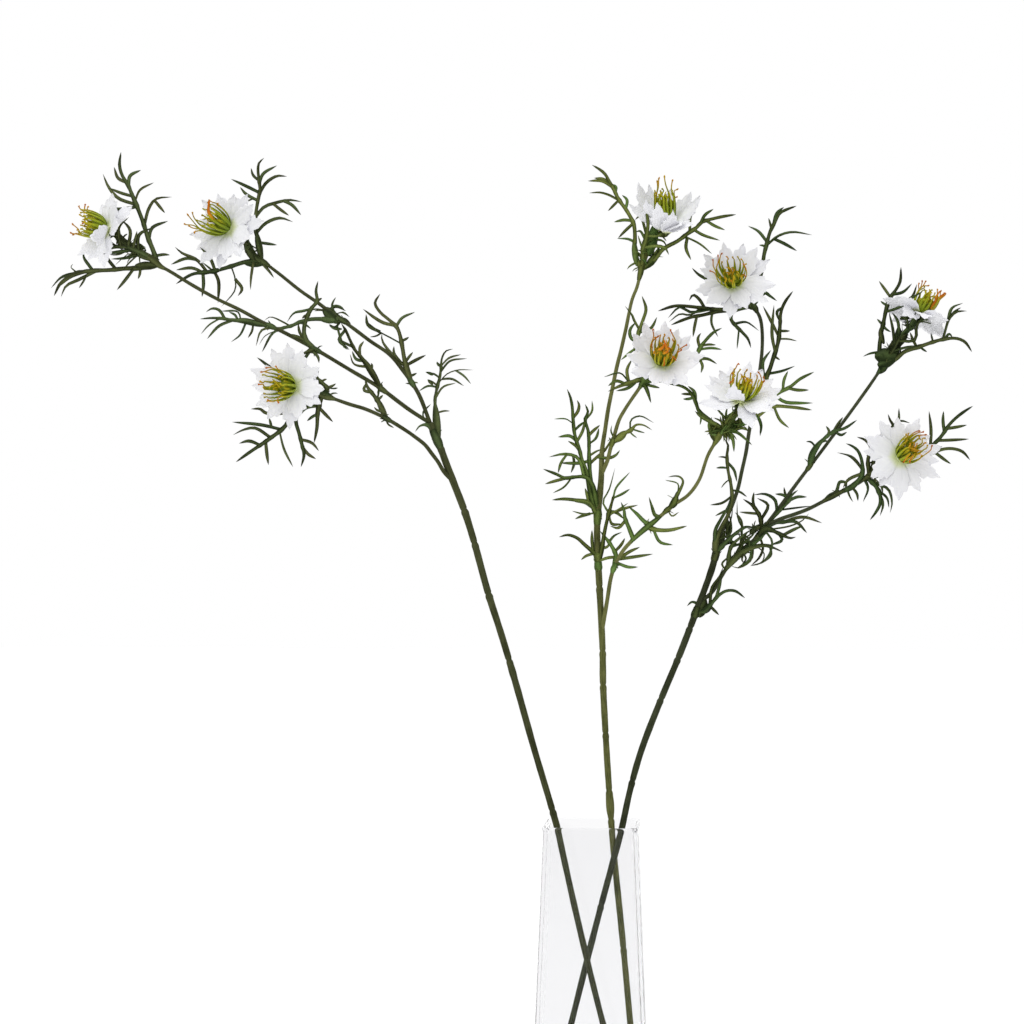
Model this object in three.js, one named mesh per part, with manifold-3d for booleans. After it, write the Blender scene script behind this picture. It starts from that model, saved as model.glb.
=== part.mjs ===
// Three sprays of love-in-a-mist standing in a tall square glass vase.
//
// Millimetres, +Z up, origin at the middle of the underside of the vase. Each spray is a
// stem with side branches; every branch carries one white flower above a frill of thread-like
// leaves, and more leaf sprigs clasp the stems. The vase's sides are square to X and Y.
//
// The layout of the stems and leaves is drawn on an elevation with squares of 0.72 mm, as
// seen by an eye in front of the vase. A drawn point is (across, down), and `back` is how far
// it lies behind the plane through the middle of the vase, in millimetres.

import * as THREE from 'three';
import { mergeVertices } from 'three/addons/utils/BufferGeometryUtils.js';
import Module from 'manifold-3d';

const wasm = await Module();
wasm.setup();

// ---- Driving dimensions (mm) ----

const GAP = 0.3; // between two pieces that touch

const SQUARE = 0.72; // one square of the elevation
const AXIS_ACROSS = 592; // where the vase's axis stands on the elevation
const FOOT_DOWN = 1163; // where the vase's underside lies on the elevation
const EYE = { across: 512, down: 512, distance: 1865 };
const VIEW_TURN = THREE.MathUtils.degToRad(4.5); // the elevation is turned from the vase's front

const VASE = {
  height: 245,
  foot: 87, // width of its square foot
  rim: 67, // width at its rim
  wall: 3.4,
  floor: 12,
  corner: 9, // radius
  chamfer: 1.2, // round the foot
  lip: 1.2, // how far the rim flares out, over its last `lipHeight`
  lipHeight: 5,
};
const STRETCH = 36; // squares of stem between two rings of a stem's solid
const COLLAR = { wall: 1.1, overhang: 2.5 }; // the sleeve of a leaf sprig round its stem
const TWIG = { root: 1.5, tip: 0.9 }; // radii of a sprig's rib
const THREAD = {
  root: 0.6, // radius
  tip: 0.32,
  shortest: 8, // a shorter thread is left out
  straightBelow: 20, // a longer thread has one bend
  swings: [0.45, -0.35, 0.15, -0.55, 0.3, -0.2], // how far each goes back, as a share of its length
};
const STALK = {
  sleeve: 4, // how far it reaches down its branch
  neck: 6, // straight stretch below the petals
  radii: [[0, 2.6], [0.15, 3.2], [0.35, 1.9], [0.75, 1.9], [1, 4.2]], // [where along it, radius]
};
const PETALS = {
  count: 6, // in each of the two whorls
  length: 27.5, // from the middle of the flower to a tip
  notchRadius: 13, // where two petals of a whorl meet
  thickness: 0.7,
  cupping: 0.011, // how fast a petal bends up past the notch
  spread: 2.9, // from under the lower whorl to the top of the upper one
  hubRadius: 4.5,
};
const STAMENS = {
  count: 7,
  thickness: 1.7,
  length: 26,
  rootRadius: 1.5, // how far from the middle a stamen springs, bulges out and ends
  bellyRadius: 8.2,
  tipRadius: 9,
  bellyHeight: 0.4, // share of the length
};
const OVARY = { radius: 3.3, length: 13 };

// ---- Layout on the elevation ----
//
// STEMS: where it springs from, `back` at its tip (or at both ends), diameters as [where along
// it, diameter], and its route as across, down, across, down ...
// FLOWERS: hub as across, down, back, and directions as right, back, up.
// FRILLS and LEAVES: twigs, each with a rib that leans back by `lean`, and its thread leaves.

const STEMS = {
  left_stem: {back: [-4, -12], thick: [[0, 4.1], [1, 5]],
      route: [637, 1146, 603, 1024, 587, 960, 573, 900, 562, 850, 557.5, 829, 552, 809, 533, 745, 515, 681,
      502, 637, 488, 593, 474, 542, 464, 510, 454, 484, 447, 466, 440, 447, 434, 433, 430, 423]},
  left_branch_1: {from: 'left_stem', back: -42, thick: [[0, 3], [1, 2.4]],
      route: [428, 421, 411, 411, 400, 403, 380, 388, 350, 370, 320, 352, 300, 341, 281, 331, 262, 322,
      240, 310, 217, 299, 192, 285, 170, 271.5, 160, 266]},
  left_branch_2: {from: 'left_stem', back: 14, thick: [[0, 3], [1, 2.4]],
      route: [429, 416, 418, 393, 404, 372, 390, 355, 370, 341, 350, 326, 330, 312, 318, 303, 300, 290.5,
      280, 274.5, 265, 263]},
  left_branch_3: {from: 'left_stem', back: -52, thick: [[0, 2.9], [1, 2.5]],
      route: [449, 483, 444, 472, 438, 462, 432, 454, 425, 445, 415, 437, 405, 430, 385, 418, 365, 409,
      350, 404.5, 330, 397.5]},
  middle_stem: {back: [16, 36], thick: [[0, 4.1], [0.74, 4.5], [0.8, 3], [1, 2.3]],
      route: [641, 1138, 630.3, 1024, 623.5, 950, 618.5, 900, 613.5, 850, 611.7, 829, 609, 790, 605.5, 734,
      603, 684, 602.5, 651, 600, 600, 598, 560, 597, 530, 598.5, 506, 601, 480, 602, 450, 605, 430,
      608, 410, 612, 390, 617, 366, 621, 350, 626, 328, 632, 300, 637, 287, 640, 275]},
  middle_branch_1: {from: 'middle_stem', back: 10, thick: [[0, 3], [1, 2.5]],
      route: [604, 475, 607.5, 460, 610, 450, 613, 440, 619, 420, 624.5, 410, 631, 400, 638, 390, 642, 384]},
  middle_branch_2: {from: 'middle_stem', back: -8, thick: [[0, 3.1], [1, 2.4]],
      route: [604, 632, 607, 601, 611, 577, 615, 565, 619, 557, 625, 548, 640, 533, 656, 520, 672, 506,
      688, 495, 699, 480, 708, 455, 716, 441]},
  right_stem: {back: [-20, 60], thick: [[0, 4.1], [1, 4.4]],
      route: [540, 1152, 569, 1024, 574.5, 1000, 587, 960, 602.5, 900, 616, 850, 621.5, 829, 630, 790,
      641, 751, 661, 699, 679, 656, 697, 609, 711, 571, 717, 550]},
  right_branch_1: {from: 'right_stem', back: 84, thick: [[0, 3], [1, 2.5]],
      route: [720, 541, 726, 520, 733, 503, 738, 488, 742, 470, 746, 452, 749, 432, 755, 400, 760, 368,
      762, 350, 762, 330, 760, 318, 755, 308]},
  right_branch_2: {from: 'right_stem', back: 92, thick: [[0, 3], [1, 2.4]],
      route: [703, 604, 712, 592, 721, 577, 728, 566, 743, 549, 757, 537, 766, 525, 781, 505, 800, 479,
      820, 453, 832, 437, 852, 410, 872, 382, 880, 370]},
  right_branch_3: {from: 'right_branch_2', back: 62, thick: [[0, 3], [1, 2.5]],
      route: [766, 526, 780, 519, 795, 514, 808, 509, 820, 503, 833, 496, 845, 490, 857, 484, 866, 478]},
};

const FLOWERS = {
  left_flower_1: {branch: 'left_branch_1', hub: [107, 231, -50], face: [-0.84, -0.42, 0.34],
    cup: [-0.95, -0.2, 0.24], turn: 10, stalk: [152, 259, 140, 251, 127, 243]},
  left_flower_2: {branch: 'left_branch_2', hub: [229, 229, 0], face: [-0.5, -0.82, 0.27],
    cup: [-0.86, -0.48, 0.18], turn: 0, stalk: [257, 258, 249, 248]},
  left_flower_3: {branch: 'left_branch_3', hub: [293, 387, -64], face: [-0.36, -0.93, 0.06],
    cup: [-0.72, -0.69, 0.04], turn: 20, stalk: [322, 395, 312, 391]},
  middle_flower_1: {branch: 'middle_stem', hub: [665, 212, 40], face: [0.05, -0.6, 0.8],
    cup: [0, -0.2, 0.98], turn: 15, stalk: [643, 263, 648, 250, 655, 235]},
  middle_flower_2: {branch: 'middle_branch_1', hub: [663, 351, -4], face: [0.08, -0.95, 0.3],
    cup: [0.02, -0.97, 0.22], turn: 5, stalk: [644, 376, 648, 366]},
  middle_flower_3: {branch: 'middle_branch_2', hub: [742, 400, -20], face: [0.1, -0.55, 0.83],
    cup: [0.1, -0.35, 0.93], turn: 0, stalk: [722, 430, 732, 416]},
  right_flower_1: {branch: 'right_branch_1', hub: [737, 281, 72], face: [-0.08, -0.88, 0.47],
    cup: [-0.3, -0.78, 0.55], turn: 0, stalk: [750, 303, 745, 295]},
  right_flower_2: {branch: 'right_branch_2', hub: [919, 314, 96], face: [0.46, 0.12, 0.88],
    cup: [0.38, -0.1, 0.92], turn: 0, stalk: [885, 361, 894, 350, 903, 336]},
  right_flower_3: {branch: 'right_branch_3', hub: [900, 457, 50], face: [0.25, -0.95, 0.15],
    cup: [0.55, -0.8, 0.25], turn: 8, stalk: [872, 474, 884, 467]},
};

const FRILLS = {
  left_frill_1: [
    {lean: -6, line: [158, 263, 153, 250, 148, 238, 143, 222, 138, 209, 133, 197, 128, 185, 122, 175,
        119.5, 165, 121, 152],
      blades: [[126, 183, 118, 178, 114, 167], [127, 187, 130, 176, 141, 170],
        [136, 201, 140, 190, 154, 182.5], [131, 197, 121, 193, 109, 188],
        [133, 206, 118, 198, 108, 186, 103, 174], [136, 207, 122, 209, 109, 208],
        [143, 226, 149, 208, 156, 199, 172, 197], [155, 201, 160, 207, 165, 213],
        [149, 240, 152, 228, 168, 221], [158, 255, 164, 254.5, 170, 255]]},
    {lean: 4, line: [157, 266, 140, 268, 125, 268.5, 110, 270, 97, 270.5, 85, 271.5, 76, 273, 68, 277,
        60, 284, 54, 296],
      blades: [[77, 273, 62, 277, 51, 288], [86, 272, 70, 277, 57, 288],
        [97, 272, 78, 280, 66, 286, 61, 297], [87, 277, 83, 282, 79, 288],
        [93, 270, 88, 264, 84, 258, 83, 249], [77, 272, 71, 267, 73, 264], [116, 268, 108, 259, 106, 252],
        [134, 269, 126, 279, 117, 290], [141, 270, 139.5, 275, 138, 279]]},
    {lean: -14, line: [150, 256, 137, 251, 125, 246],
      blades: [[140, 257, 125, 258, 111, 259], [133, 252, 118, 252, 103, 254],
        [130, 247, 115, 247, 105, 251], [133, 248, 136, 236, 137, 231], [129, 245, 130, 230, 122, 220],
        [121, 243, 119, 228, 129, 217], [118, 240, 115, 230, 115, 224], [139, 250, 139, 235, 151, 228]]},
  ],
  left_frill_2: [
    {lean: 10, line: [262, 260, 260, 245, 256, 232, 255.5, 218, 258, 200, 260, 190, 259, 180, 258, 170,
        259, 163, 264, 158],
      blades: [[258, 181, 253, 175, 251, 168], [260, 183, 263, 174, 277, 165.5],
        [261, 194, 266, 183, 277, 176, 287, 176.5], [260, 193, 248, 187, 231, 179],
        [254, 200, 246, 194, 240, 187], [253, 200, 246, 201, 239, 200],
        [257, 217, 264, 207, 275, 203, 290, 200, 302, 202], [273, 204, 281, 210, 289, 215.5],
        [284, 202, 292, 205, 301, 215], [260, 232, 266, 223, 280, 218, 293, 222],
        [261, 242, 270, 244, 277, 245]]},
    {lean: -12, line: [258, 264, 245, 262, 232, 266, 222, 269, 212, 271.5, 203, 272.5, 193, 274, 185, 278,
        176, 284],
      blades: [[207, 271, 197, 260, 182, 253, 175, 247], [196, 261, 186, 258.5, 171, 264.5],
        [203, 272, 192, 268, 176, 270], [215, 270, 210, 258, 200, 247], [213, 270, 207, 266, 202, 262],
        [203, 273, 203.5, 285, 202, 297], [214, 271, 218.5, 281, 218, 303],
        [231, 266, 235, 278, 235, 290, 221, 307], [235, 279, 242, 289, 238, 296],
        [254, 266, 251, 278, 250.5, 290], [260, 266, 269, 271, 274, 278]]},
  ],
  left_frill_3: [
    {lean: -4, line: [325, 396, 326.5, 388, 321, 382, 317, 377, 319, 369],
      blades: [[327, 388, 332, 386, 336, 383.5], [328, 389, 333, 388.5, 338, 388],
        [321, 382, 324, 380, 327, 379]]},
    {lean: 0, line: [310, 400, 290, 418, 286, 425, 280, 431, 272, 437, 262, 444, 250, 452, 236, 462],
      blades: [[281, 429, 262, 425, 232, 422], [272, 425, 270, 421, 269, 418],
        [271, 438, 255, 428, 243, 430, 233, 435], [260, 445, 249, 441, 239, 443.5],
        [266, 442, 267, 455, 268.5, 465], [280, 432, 284, 449, 293, 467]]},
    {lean: 6, line: [316, 402, 297, 414, 296, 422, 299, 433, 302, 445, 304, 455, 301, 467],
      blades: [[303, 447, 308, 454, 316, 459], [302, 439, 312, 443, 319, 451]]},
    {lean: 10, line: [320, 400, 318, 410, 317, 427, 315.5, 436, 314, 443],
      blades: [[318, 407, 326, 415, 333, 422], [318, 414, 312, 417, 307, 421],
        [317, 405, 306, 408, 299, 416]]},
    {lean: 0, line: [314, 392, 290, 380, 267, 365, 262, 361, 257, 357.5],
      blades: []},
    {lean: 2, line: [310, 397, 285, 412, 266, 413, 260, 409, 251, 409],
      blades: []},
  ],
  middle_frill_1: [
    {lean: 6, line: [638, 270, 634.5, 250, 635, 238, 634, 225, 631, 218, 625, 208, 619, 200, 614, 190,
        610, 183, 605, 174, 599, 169, 592, 165],
      blades: [[610, 184, 603, 179, 594, 178], [612, 187, 602, 181, 588, 181],
        [618, 202, 609, 195, 600, 192.5, 589, 193], [617, 203, 612, 207, 608, 211],
        [615, 193, 616, 187, 612, 184], [626, 209, 627, 200, 622, 195], [632, 221, 624, 220, 614, 222],
        [631, 224, 625, 231, 618, 238.5], [634, 242, 628, 239, 617, 238.5], [634, 263, 630, 266, 627, 269.5]]},
    {lean: 0, line: [645, 270, 655, 259, 662, 250, 668, 246, 676, 242, 682, 238, 689, 232.5, 696, 228,
        702, 222, 712, 219, 723, 216.5, 736, 214.5],
      blades: [[690, 232, 690, 218, 693, 210, 699, 203], [700, 223, 705, 215, 713.5, 209],
        [706, 221, 715, 226, 725, 230], [694, 230, 703, 235, 720, 240.5], [685, 237, 700, 244, 712, 254],
        [688, 236, 686, 248, 691, 260]]},
    {lean: -12, line: [643, 265, 643, 250, 646, 238, 648, 225, 647, 212, 649, 202],
      blades: [[646, 235, 640, 216, 635, 220], [645, 240, 640, 231, 636, 232],
        [644, 250, 640, 242, 638, 235], [644, 248, 655, 246, 665, 248, 669, 255],
        [645, 244, 652, 240, 663, 241, 667, 247], [647, 236, 657, 236, 664, 233]]},
  ],
  middle_frill_2: [
    {lean: 10, line: [650, 375, 690, 362, 697, 354, 700, 348, 706, 340, 714, 332, 722, 328],
      blades: [[699, 348, 698, 338, 701, 333], [702, 346, 709, 344.5, 716, 345],
        [700, 350, 711, 348, 722, 349.5]]},
    {lean: 14, line: [650, 379, 690, 366, 701, 359, 708, 359, 717, 364],
      blades: [[700, 360, 702.5, 366, 701, 373]]},
    {lean: 8, line: [641, 376, 636, 350, 638, 335, 643, 320, 646, 309, 642, 296],
      blades: [[637, 342, 631, 338, 630, 330, 636, 322], [640, 330, 634, 320, 632, 315, 625, 306],
        [637, 348, 628, 354, 621, 360], [640, 333, 651, 328, 657, 317]]},
    {lean: -4, line: [641, 378, 632, 382, 620, 386, 608, 391.5],
      blades: [[629, 383, 627, 370, 632, 359], [628, 382, 620, 373, 604, 377],
        [637, 379, 628, 388, 616, 391], [626, 384, 616, 381, 608, 386]]},
    {lean: -6, line: [645, 382, 647, 390, 651, 403],
      blades: [[646, 383, 652, 386, 660, 388], [647, 380, 658, 381, 670, 381]]},
  ],
  middle_frill_3: [
    {lean: -2, line: [720, 436, 714, 424, 706, 417, 699, 411, 696, 403, 693, 396, 688, 390, 681, 386,
        669, 384],
      blades: [[696, 402, 694.5, 392, 688, 386], [691, 395, 686, 394, 681, 394],
        [693, 398, 688, 399, 683, 399], [700, 412, 701, 418, 700, 425]]},
    {lean: 8, line: [724, 436, 755, 410, 773, 397, 780, 392, 790, 387, 800, 379, 814, 372],
      blades: [[783, 391, 784, 380, 788, 371], [788, 388, 797, 390, 809, 390],
        [775, 396, 785, 402, 798, 403, 813, 403]]},
    {lean: 12, line: [727, 438, 755, 418, 771, 407, 790, 407, 812, 410],
      blades: [[774, 407, 780, 420, 789, 428]]},
    {lean: 14, line: [728, 434, 760, 412, 770, 396, 768, 385, 767, 370],
      blades: []},
    {lean: -12, line: [722, 434, 729, 430, 738, 433, 752, 445],
      blades: [[729, 430, 733, 440, 734, 452], [733, 431, 742, 428, 749, 431],
        [734, 432, 740, 422, 737, 414], [727, 431, 722, 424, 720, 416]]},
    {lean: -4, line: [724, 434, 748, 422, 757, 417, 761, 425, 760, 436],
      blades: []},
    {lean: -8, line: [717, 438, 711, 431, 709, 424, 712, 417],
      blades: []},
  ],
  right_frill_1: [
    {lean: 2, line: [750, 306, 735, 309, 719, 309.5, 705, 308.5, 690, 306.5, 675, 306, 658, 311],
      blades: [[705, 308, 699, 299, 693, 295, 689, 301], [712, 309, 690, 312, 680, 307, 668, 318],
        [701, 309, 690, 315, 680, 314, 669, 322]]},
    {lean: 8, line: [748, 309, 730, 310, 715, 312, 703, 315, 692, 317, 683, 320, 671, 325],
      blades: [[697, 317, 694.5, 327, 693, 337], [712, 312, 711.5, 323, 718, 337]]},
    {lean: -4, line: [749, 309, 733, 312, 731, 319, 736, 326, 742, 332, 748, 339, 751, 348],
      blades: [[735, 323, 746, 322, 753, 326, 759, 331], [739, 329, 738, 339, 737, 349]]},
    {lean: 14, line: [755, 300, 762, 270, 764, 255, 767, 243, 770, 232, 775, 222, 780, 213, 788, 209,
        796.5, 206],
      blades: [[767, 242, 758, 231, 748, 226], [771, 229, 770, 223, 768.5, 218],
        [773, 225, 777, 213, 784, 207], [768, 246, 778, 236, 792, 232, 812, 235],
        [775, 240, 785, 244, 797, 251], [766, 249, 764, 246, 759, 245]]},
    {lean: -2, line: [748, 303, 725, 290, 706, 279, 698, 274, 692, 268],
      blades: []},
    {lean: 6, line: [756, 302, 765, 293, 770, 296, 777, 301],
      blades: []},
  ],
  right_frill_2: [
    {lean: 4, line: [880, 366, 879.5, 350, 881, 335, 884, 320, 886.5, 308, 890, 298, 895, 291, 900, 282,
        901, 267],
      blades: [[890, 297, 884, 288, 879, 281], [893, 295, 903, 292, 912, 283.5],
        [888, 304, 902, 302, 912, 297, 917, 284], [886, 312, 900, 307, 912, 298, 923, 291],
        [885, 305, 883, 303, 880.5, 301], [878, 352, 870, 353.5, 863, 356.5],
        [882, 325, 879, 321, 877, 319], [882, 325, 886, 329, 891, 332]]},
    {lean: -10, line: [884, 367, 896, 359, 904, 352, 912, 349, 920, 346.5, 930, 343, 940, 340, 948, 338.5,
        957, 338.5, 965, 342, 972, 352],
      blades: [[933, 342, 932, 338, 931, 333], [920, 348, 924, 350, 927, 352],
        [917, 347, 913, 340, 910, 332], [943, 339, 946, 328, 949, 319, 956, 312, 967, 311],
        [947, 322, 952, 308, 963, 303], [948, 320, 954, 312, 961, 307.5], [945, 338, 949, 334, 953, 338]]},
    {lean: -16, line: [887, 360, 895, 346, 901, 333],
      blades: [[891, 345, 893, 330, 889, 312], [897, 338, 898, 322, 892, 312],
        [900, 336, 910, 325, 916, 312], [907, 328, 907, 320, 900, 316],
        [905, 344, 915, 340, 917, 325, 929, 312]]},
  ],
  right_frill_3: [
    {lean: 8, line: [872, 474, 925, 450, 936, 442, 943, 434, 949, 425, 957, 417, 965, 411, 973, 406],
      blades: [[944, 432, 943, 420, 943.5, 411], [947, 429, 957, 427, 967, 425],
        [938, 441, 952, 440, 969, 439], [930, 446, 931, 430, 929, 411]]},
    {lean: 12, line: [873, 476, 925, 456, 944, 449, 955, 449, 963, 452, 970, 460],
      blades: [[935, 453, 945, 460, 951, 464]]},
    {lean: 4, line: [870, 474, 880, 440, 893, 426, 890, 420, 888, 414],
      blades: [[888, 432, 898, 422, 899, 408], [886, 434, 900, 421, 910, 423]]},
    {lean: -2, line: [868, 474, 868, 460, 870.5, 447, 865, 440, 857, 437],
      blades: [[869, 464, 874, 460, 866, 455]]},
    {lean: -8, line: [867, 478, 875, 485, 880, 495, 880, 504, 876, 512, 870, 520],
      blades: [[880, 492, 883, 505, 880, 516], [880, 490, 887, 498, 889, 508],
        [876, 480, 888, 489, 892, 503, 890, 513], [874, 480, 880, 483, 883, 493]]},
  ],
};

const LEAVES = {
  left_leaf_1: {on: 'left_branch_1', twigs: [
    {lean: -9, line: [270, 328, 258, 324, 245, 321, 232, 320, 222, 318.5, 212, 318, 200, 319],
      blades: [[225, 319, 219, 310, 212, 308.5, 206, 312], [220, 319, 209, 325, 201, 334],
        [233, 321, 219, 326, 207, 339], [246, 324, 240, 335, 231, 342], [241, 319, 238, 312, 221, 311],
        [253, 324, 252, 331, 248, 338], [238, 320, 235, 315, 229, 312]]},
  ]},
  left_leaf_2: {on: 'left_branch_1', twigs: [
    {lean: -11, line: [315, 351, 306, 341, 304, 330, 306, 320, 311, 309, 317, 301, 316, 291, 318, 281],
      blades: [[311, 309, 303, 311, 294, 313, 287, 322], [308, 315, 305, 316, 302, 318.5],
        [306, 341, 300, 333, 298, 323], [305, 341, 298, 337, 289, 334], [317, 302, 319, 300, 322, 298]]},
    {lean: -6, line: [313, 352, 307, 352, 298, 356],
      blades: [[311, 352, 305, 359, 306, 368], [312, 352, 318, 357, 319, 363]]},
  ]},
  left_leaf_3: {on: 'left_branch_1', twigs: [
    {lean: -12, line: [382, 389, 374, 376, 367, 365, 360, 356, 355, 350, 350, 340, 346, 331, 341, 323],
      blades: [[360, 356, 360, 347, 364, 341], [353, 347, 345, 343, 341, 340],
        [345, 330, 339, 340, 349, 349], [364, 370, 354, 364, 350, 354], [363, 362, 356, 359, 352, 351],
        [371, 371, 372, 365, 371, 363]]},
  ]},
  left_leaf_4: {on: 'left_branch_2', twigs: [
    {lean: -8, line: [339, 320, 330, 320, 320, 319, 309, 319.5, 300, 322, 291, 326, 283, 328, 273, 333,
        262, 352],
      blades: [[290, 325, 283, 322, 270, 317, 264, 321], [283, 328, 262, 330, 256, 346],
        [279, 330, 265, 336, 259, 345], [299, 323, 306, 325, 311, 329]]},
    {lean: 4, line: [341, 321, 333, 313, 327, 306, 331, 303, 336, 297],
      blades: [[328, 307, 335, 305, 345, 311], [334, 313, 341, 310, 349, 316]]},
  ]},
  left_leaf_5: {on: 'left_branch_2', twigs: [
    {lean: 10, line: [411, 383, 407, 370, 404, 357, 402, 345, 399, 332, 396, 326, 388, 319, 380, 312,
        375, 303, 380, 294],
      blades: [[402, 344, 391, 338, 380, 332, 366, 321], [380, 332, 368, 325, 366, 314],
        [382, 332, 376, 336, 370, 337], [395, 326, 384, 323, 375, 318, 363, 309],
        [404, 368, 390, 352, 382, 340, 382, 333], [402, 362, 394, 353, 394, 346],
        [397, 326, 402, 318, 415, 312], [402, 341, 406, 339, 409, 337], [407, 362, 409, 357, 413, 352],
        [408, 365, 416, 360, 426, 355], [410, 376, 413, 375, 417, 373]]},
  ]},
  left_leaf_6: {on: 'left_branch_3', twigs: [
    {lean: 5, line: [386, 419, 382, 409, 378, 401, 372, 393, 367, 386, 365, 376],
      blades: [[377, 400, 379, 391, 380, 383], [377, 400, 380, 398, 383, 395],
        [371, 393, 364, 390, 367, 382], [382, 413, 377, 410, 374, 407], [385, 419, 388, 424, 394, 428]]},
  ]},
  left_leaf_7: {on: 'left_stem', twigs: [
    {lean: 9, line: [438, 442, 437, 428, 436, 414, 435, 400, 437, 388, 440, 376, 441, 367, 442, 358,
        446, 351, 453, 349],
      blades: [[442, 366, 449, 358, 461, 354.5], [442, 372, 450, 361, 467, 358.5],
        [439, 384, 447, 374, 458, 370, 473, 370], [456, 371, 464, 376, 471, 384],
        [442, 379, 452, 379, 464, 386], [436, 399, 443, 387, 456, 383], [440, 378, 434, 374, 427, 373],
        [438, 386, 434, 383, 430, 380], [437, 387, 428, 386, 419, 391], [438, 413, 444, 411, 450, 411],
        [441, 366, 439, 364, 437, 362]]},
    {lean: -6, line: [433, 434, 427, 425, 420, 426, 415, 432],
      blades: [[427, 425, 423, 413, 431, 404]]},
  ]},
  middle_leaf_1: {on: 'middle_stem', twigs: [
    {lean: -12, line: [596, 520, 592, 500, 588, 482, 586, 470, 582, 460, 579, 448, 576, 440, 574, 430,
        573, 418, 572, 405, 570, 396, 567, 389],
      blades: [[573, 418, 578, 411, 579, 405, 577, 400], [573, 424, 566, 419, 554, 419],
        [576, 441, 570, 436, 558, 437], [577, 442, 583, 430, 585, 419], [574, 431, 579, 426, 586, 421],
        [586, 450, 576, 446, 568, 441]]},
    {lean: -4, line: [596, 516, 593, 495, 590, 472, 589, 455, 589, 443, 588, 430, 585, 420, 588, 412,
        585, 404],
      blades: [[587, 420, 592, 411, 592, 400.5], [586, 436, 592, 432, 600, 425],
        [590, 444, 596, 438, 599, 428], [589, 461, 580, 463, 560, 463],
        [590, 464, 597, 457, 605, 450, 613, 436], [598, 458, 609, 458, 616, 455, 620, 450],
        [590, 456, 597, 451, 603, 449]]},
    {lean: -16, line: [595, 512, 591, 482, 585, 477, 575, 477, 565, 478, 556, 474, 543, 469],
      blades: [[567, 478, 555, 481, 545, 484], [572, 478, 564, 487, 553, 493],
        [584, 476, 578, 458, 565, 454, 549, 457], [567, 455, 561, 463, 558, 473],
        [573, 456, 574, 464, 571, 473]]},
    {lean: -8, line: [596, 518, 590, 503, 575, 500, 563, 499, 552, 500],
      blades: [[592, 510, 585, 503, 575, 502], [593, 514, 584, 514, 572, 511],
        [590, 512, 582, 516, 575, 519], [588, 503, 587, 495, 585, 488]]},
  ]},
  middle_leaf_2: {on: 'middle_stem', twigs: [
    {lean: -12, line: [600, 565, 602, 548, 604, 535, 606, 525, 609, 513, 612, 502, 614, 495],
      blades: [[613, 497, 616, 488, 630, 472], [613, 498, 622, 494, 630, 489],
        [609, 513, 603, 502, 609, 490, 615, 468], [612, 516, 618, 510, 628, 503],
        [615, 513, 626, 508, 638, 505], [608, 510, 617, 513, 624, 519], [609, 515, 612, 524, 622, 524],
        [602, 549, 608, 546, 609, 542]]},
  ]},
  middle_leaf_3: {on: 'middle_stem', twigs: [
    {lean: -7, line: [597, 556, 585, 545, 577, 538, 568, 535, 559, 537],
      blades: [[594, 554, 586, 556, 581, 560], [593, 552, 592, 540, 592, 530]]},
  ]},
  middle_leaf_4: {on: 'middle_branch_2', twigs: [
    {lean: 9, line: [616, 568, 616, 556, 611, 545, 605, 537, 600, 531],
      blades: [[619, 560, 640, 556, 653, 554], [619, 562, 629, 552, 640, 547],
        [619, 563, 628, 567, 638, 567], [616, 557, 607, 558, 597, 562], [609, 542, 614, 536, 622, 532],
        [614, 552, 621, 545, 625, 538]]},
  ]},
  middle_leaf_5: {on: 'middle_branch_2', twigs: [
    {lean: -9, line: [634, 540, 629, 528, 625, 518, 624, 510, 621, 502],
      blades: [[626, 520, 618, 528, 610, 526]]},
    {lean: 8, line: [652, 526, 645, 522, 637, 514, 628, 506],
      blades: []},
    {lean: -6, line: [660, 518, 655, 515, 652, 507, 649, 497],
      blades: []},
    {lean: -8, line: [648, 529, 658, 530, 670, 530, 687, 526],
      blades: [[653, 530, 660, 542, 673, 545]]},
  ]},
  middle_leaf_6: {on: 'middle_branch_2', twigs: [
    {lean: -8, line: [668, 510, 674, 503, 677, 495, 681, 488, 683, 481, 680, 477, 675, 476, 668, 477],
      blades: [[678, 494, 678, 484, 665, 480], [675, 500, 671, 497, 667, 495],
        [668, 512, 672, 516, 679, 512]]},
  ]},
  middle_leaf_7: {on: 'middle_branch_1', twigs: [
    {lean: -8, line: [612, 442, 619, 438, 625, 433, 631, 430, 636, 425, 643, 425, 652, 430],
      blades: [[630, 430, 631, 420, 640, 416, 654, 423], [632, 429, 638, 431, 645, 433],
        [629, 431, 633, 435, 637, 438], [614, 438, 611, 431, 612, 425]]},
  ]},
  right_leaf_1: {on: 'right_stem', twigs: [
    {lean: -14, line: [715, 556, 716, 540, 721, 528, 728, 515, 732, 500, 731, 485, 728, 470, 727, 455,
        728, 445, 724, 438],
      blades: [[727, 458, 723, 457, 718, 457], [728, 468, 722, 467.5, 716, 468],
        [730, 479, 725, 483, 721, 488], [731, 496, 722, 503, 710, 505], [729, 508, 723, 512, 715, 516],
        [732, 490, 740, 492, 747, 497], [728, 462, 734, 470, 737, 482]]},
    {lean: -20, line: [717, 553, 728, 540, 740, 530, 746, 527, 757, 528],
      blades: [[722, 548, 729, 543, 737, 545], [743, 529, 741, 520, 735, 512]]},
  ]},
  right_leaf_2: {on: 'right_stem', twigs: [
    {lean: -9, line: [698, 614, 704, 611, 711, 604, 718, 596, 726, 591, 735, 591, 745, 598],
      blades: [[710, 606, 714, 610, 719, 615], [716, 598, 719, 588, 722, 577]]},
    {lean: 6, line: [699, 612, 697, 604, 692, 602, 687, 606],
      blades: []},
  ]},
  right_leaf_3: {on: 'right_branch_2', twigs: [
    {lean: -12, line: [727, 568, 738, 556, 750, 549, 762, 546, 771, 547, 783, 552],
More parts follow.
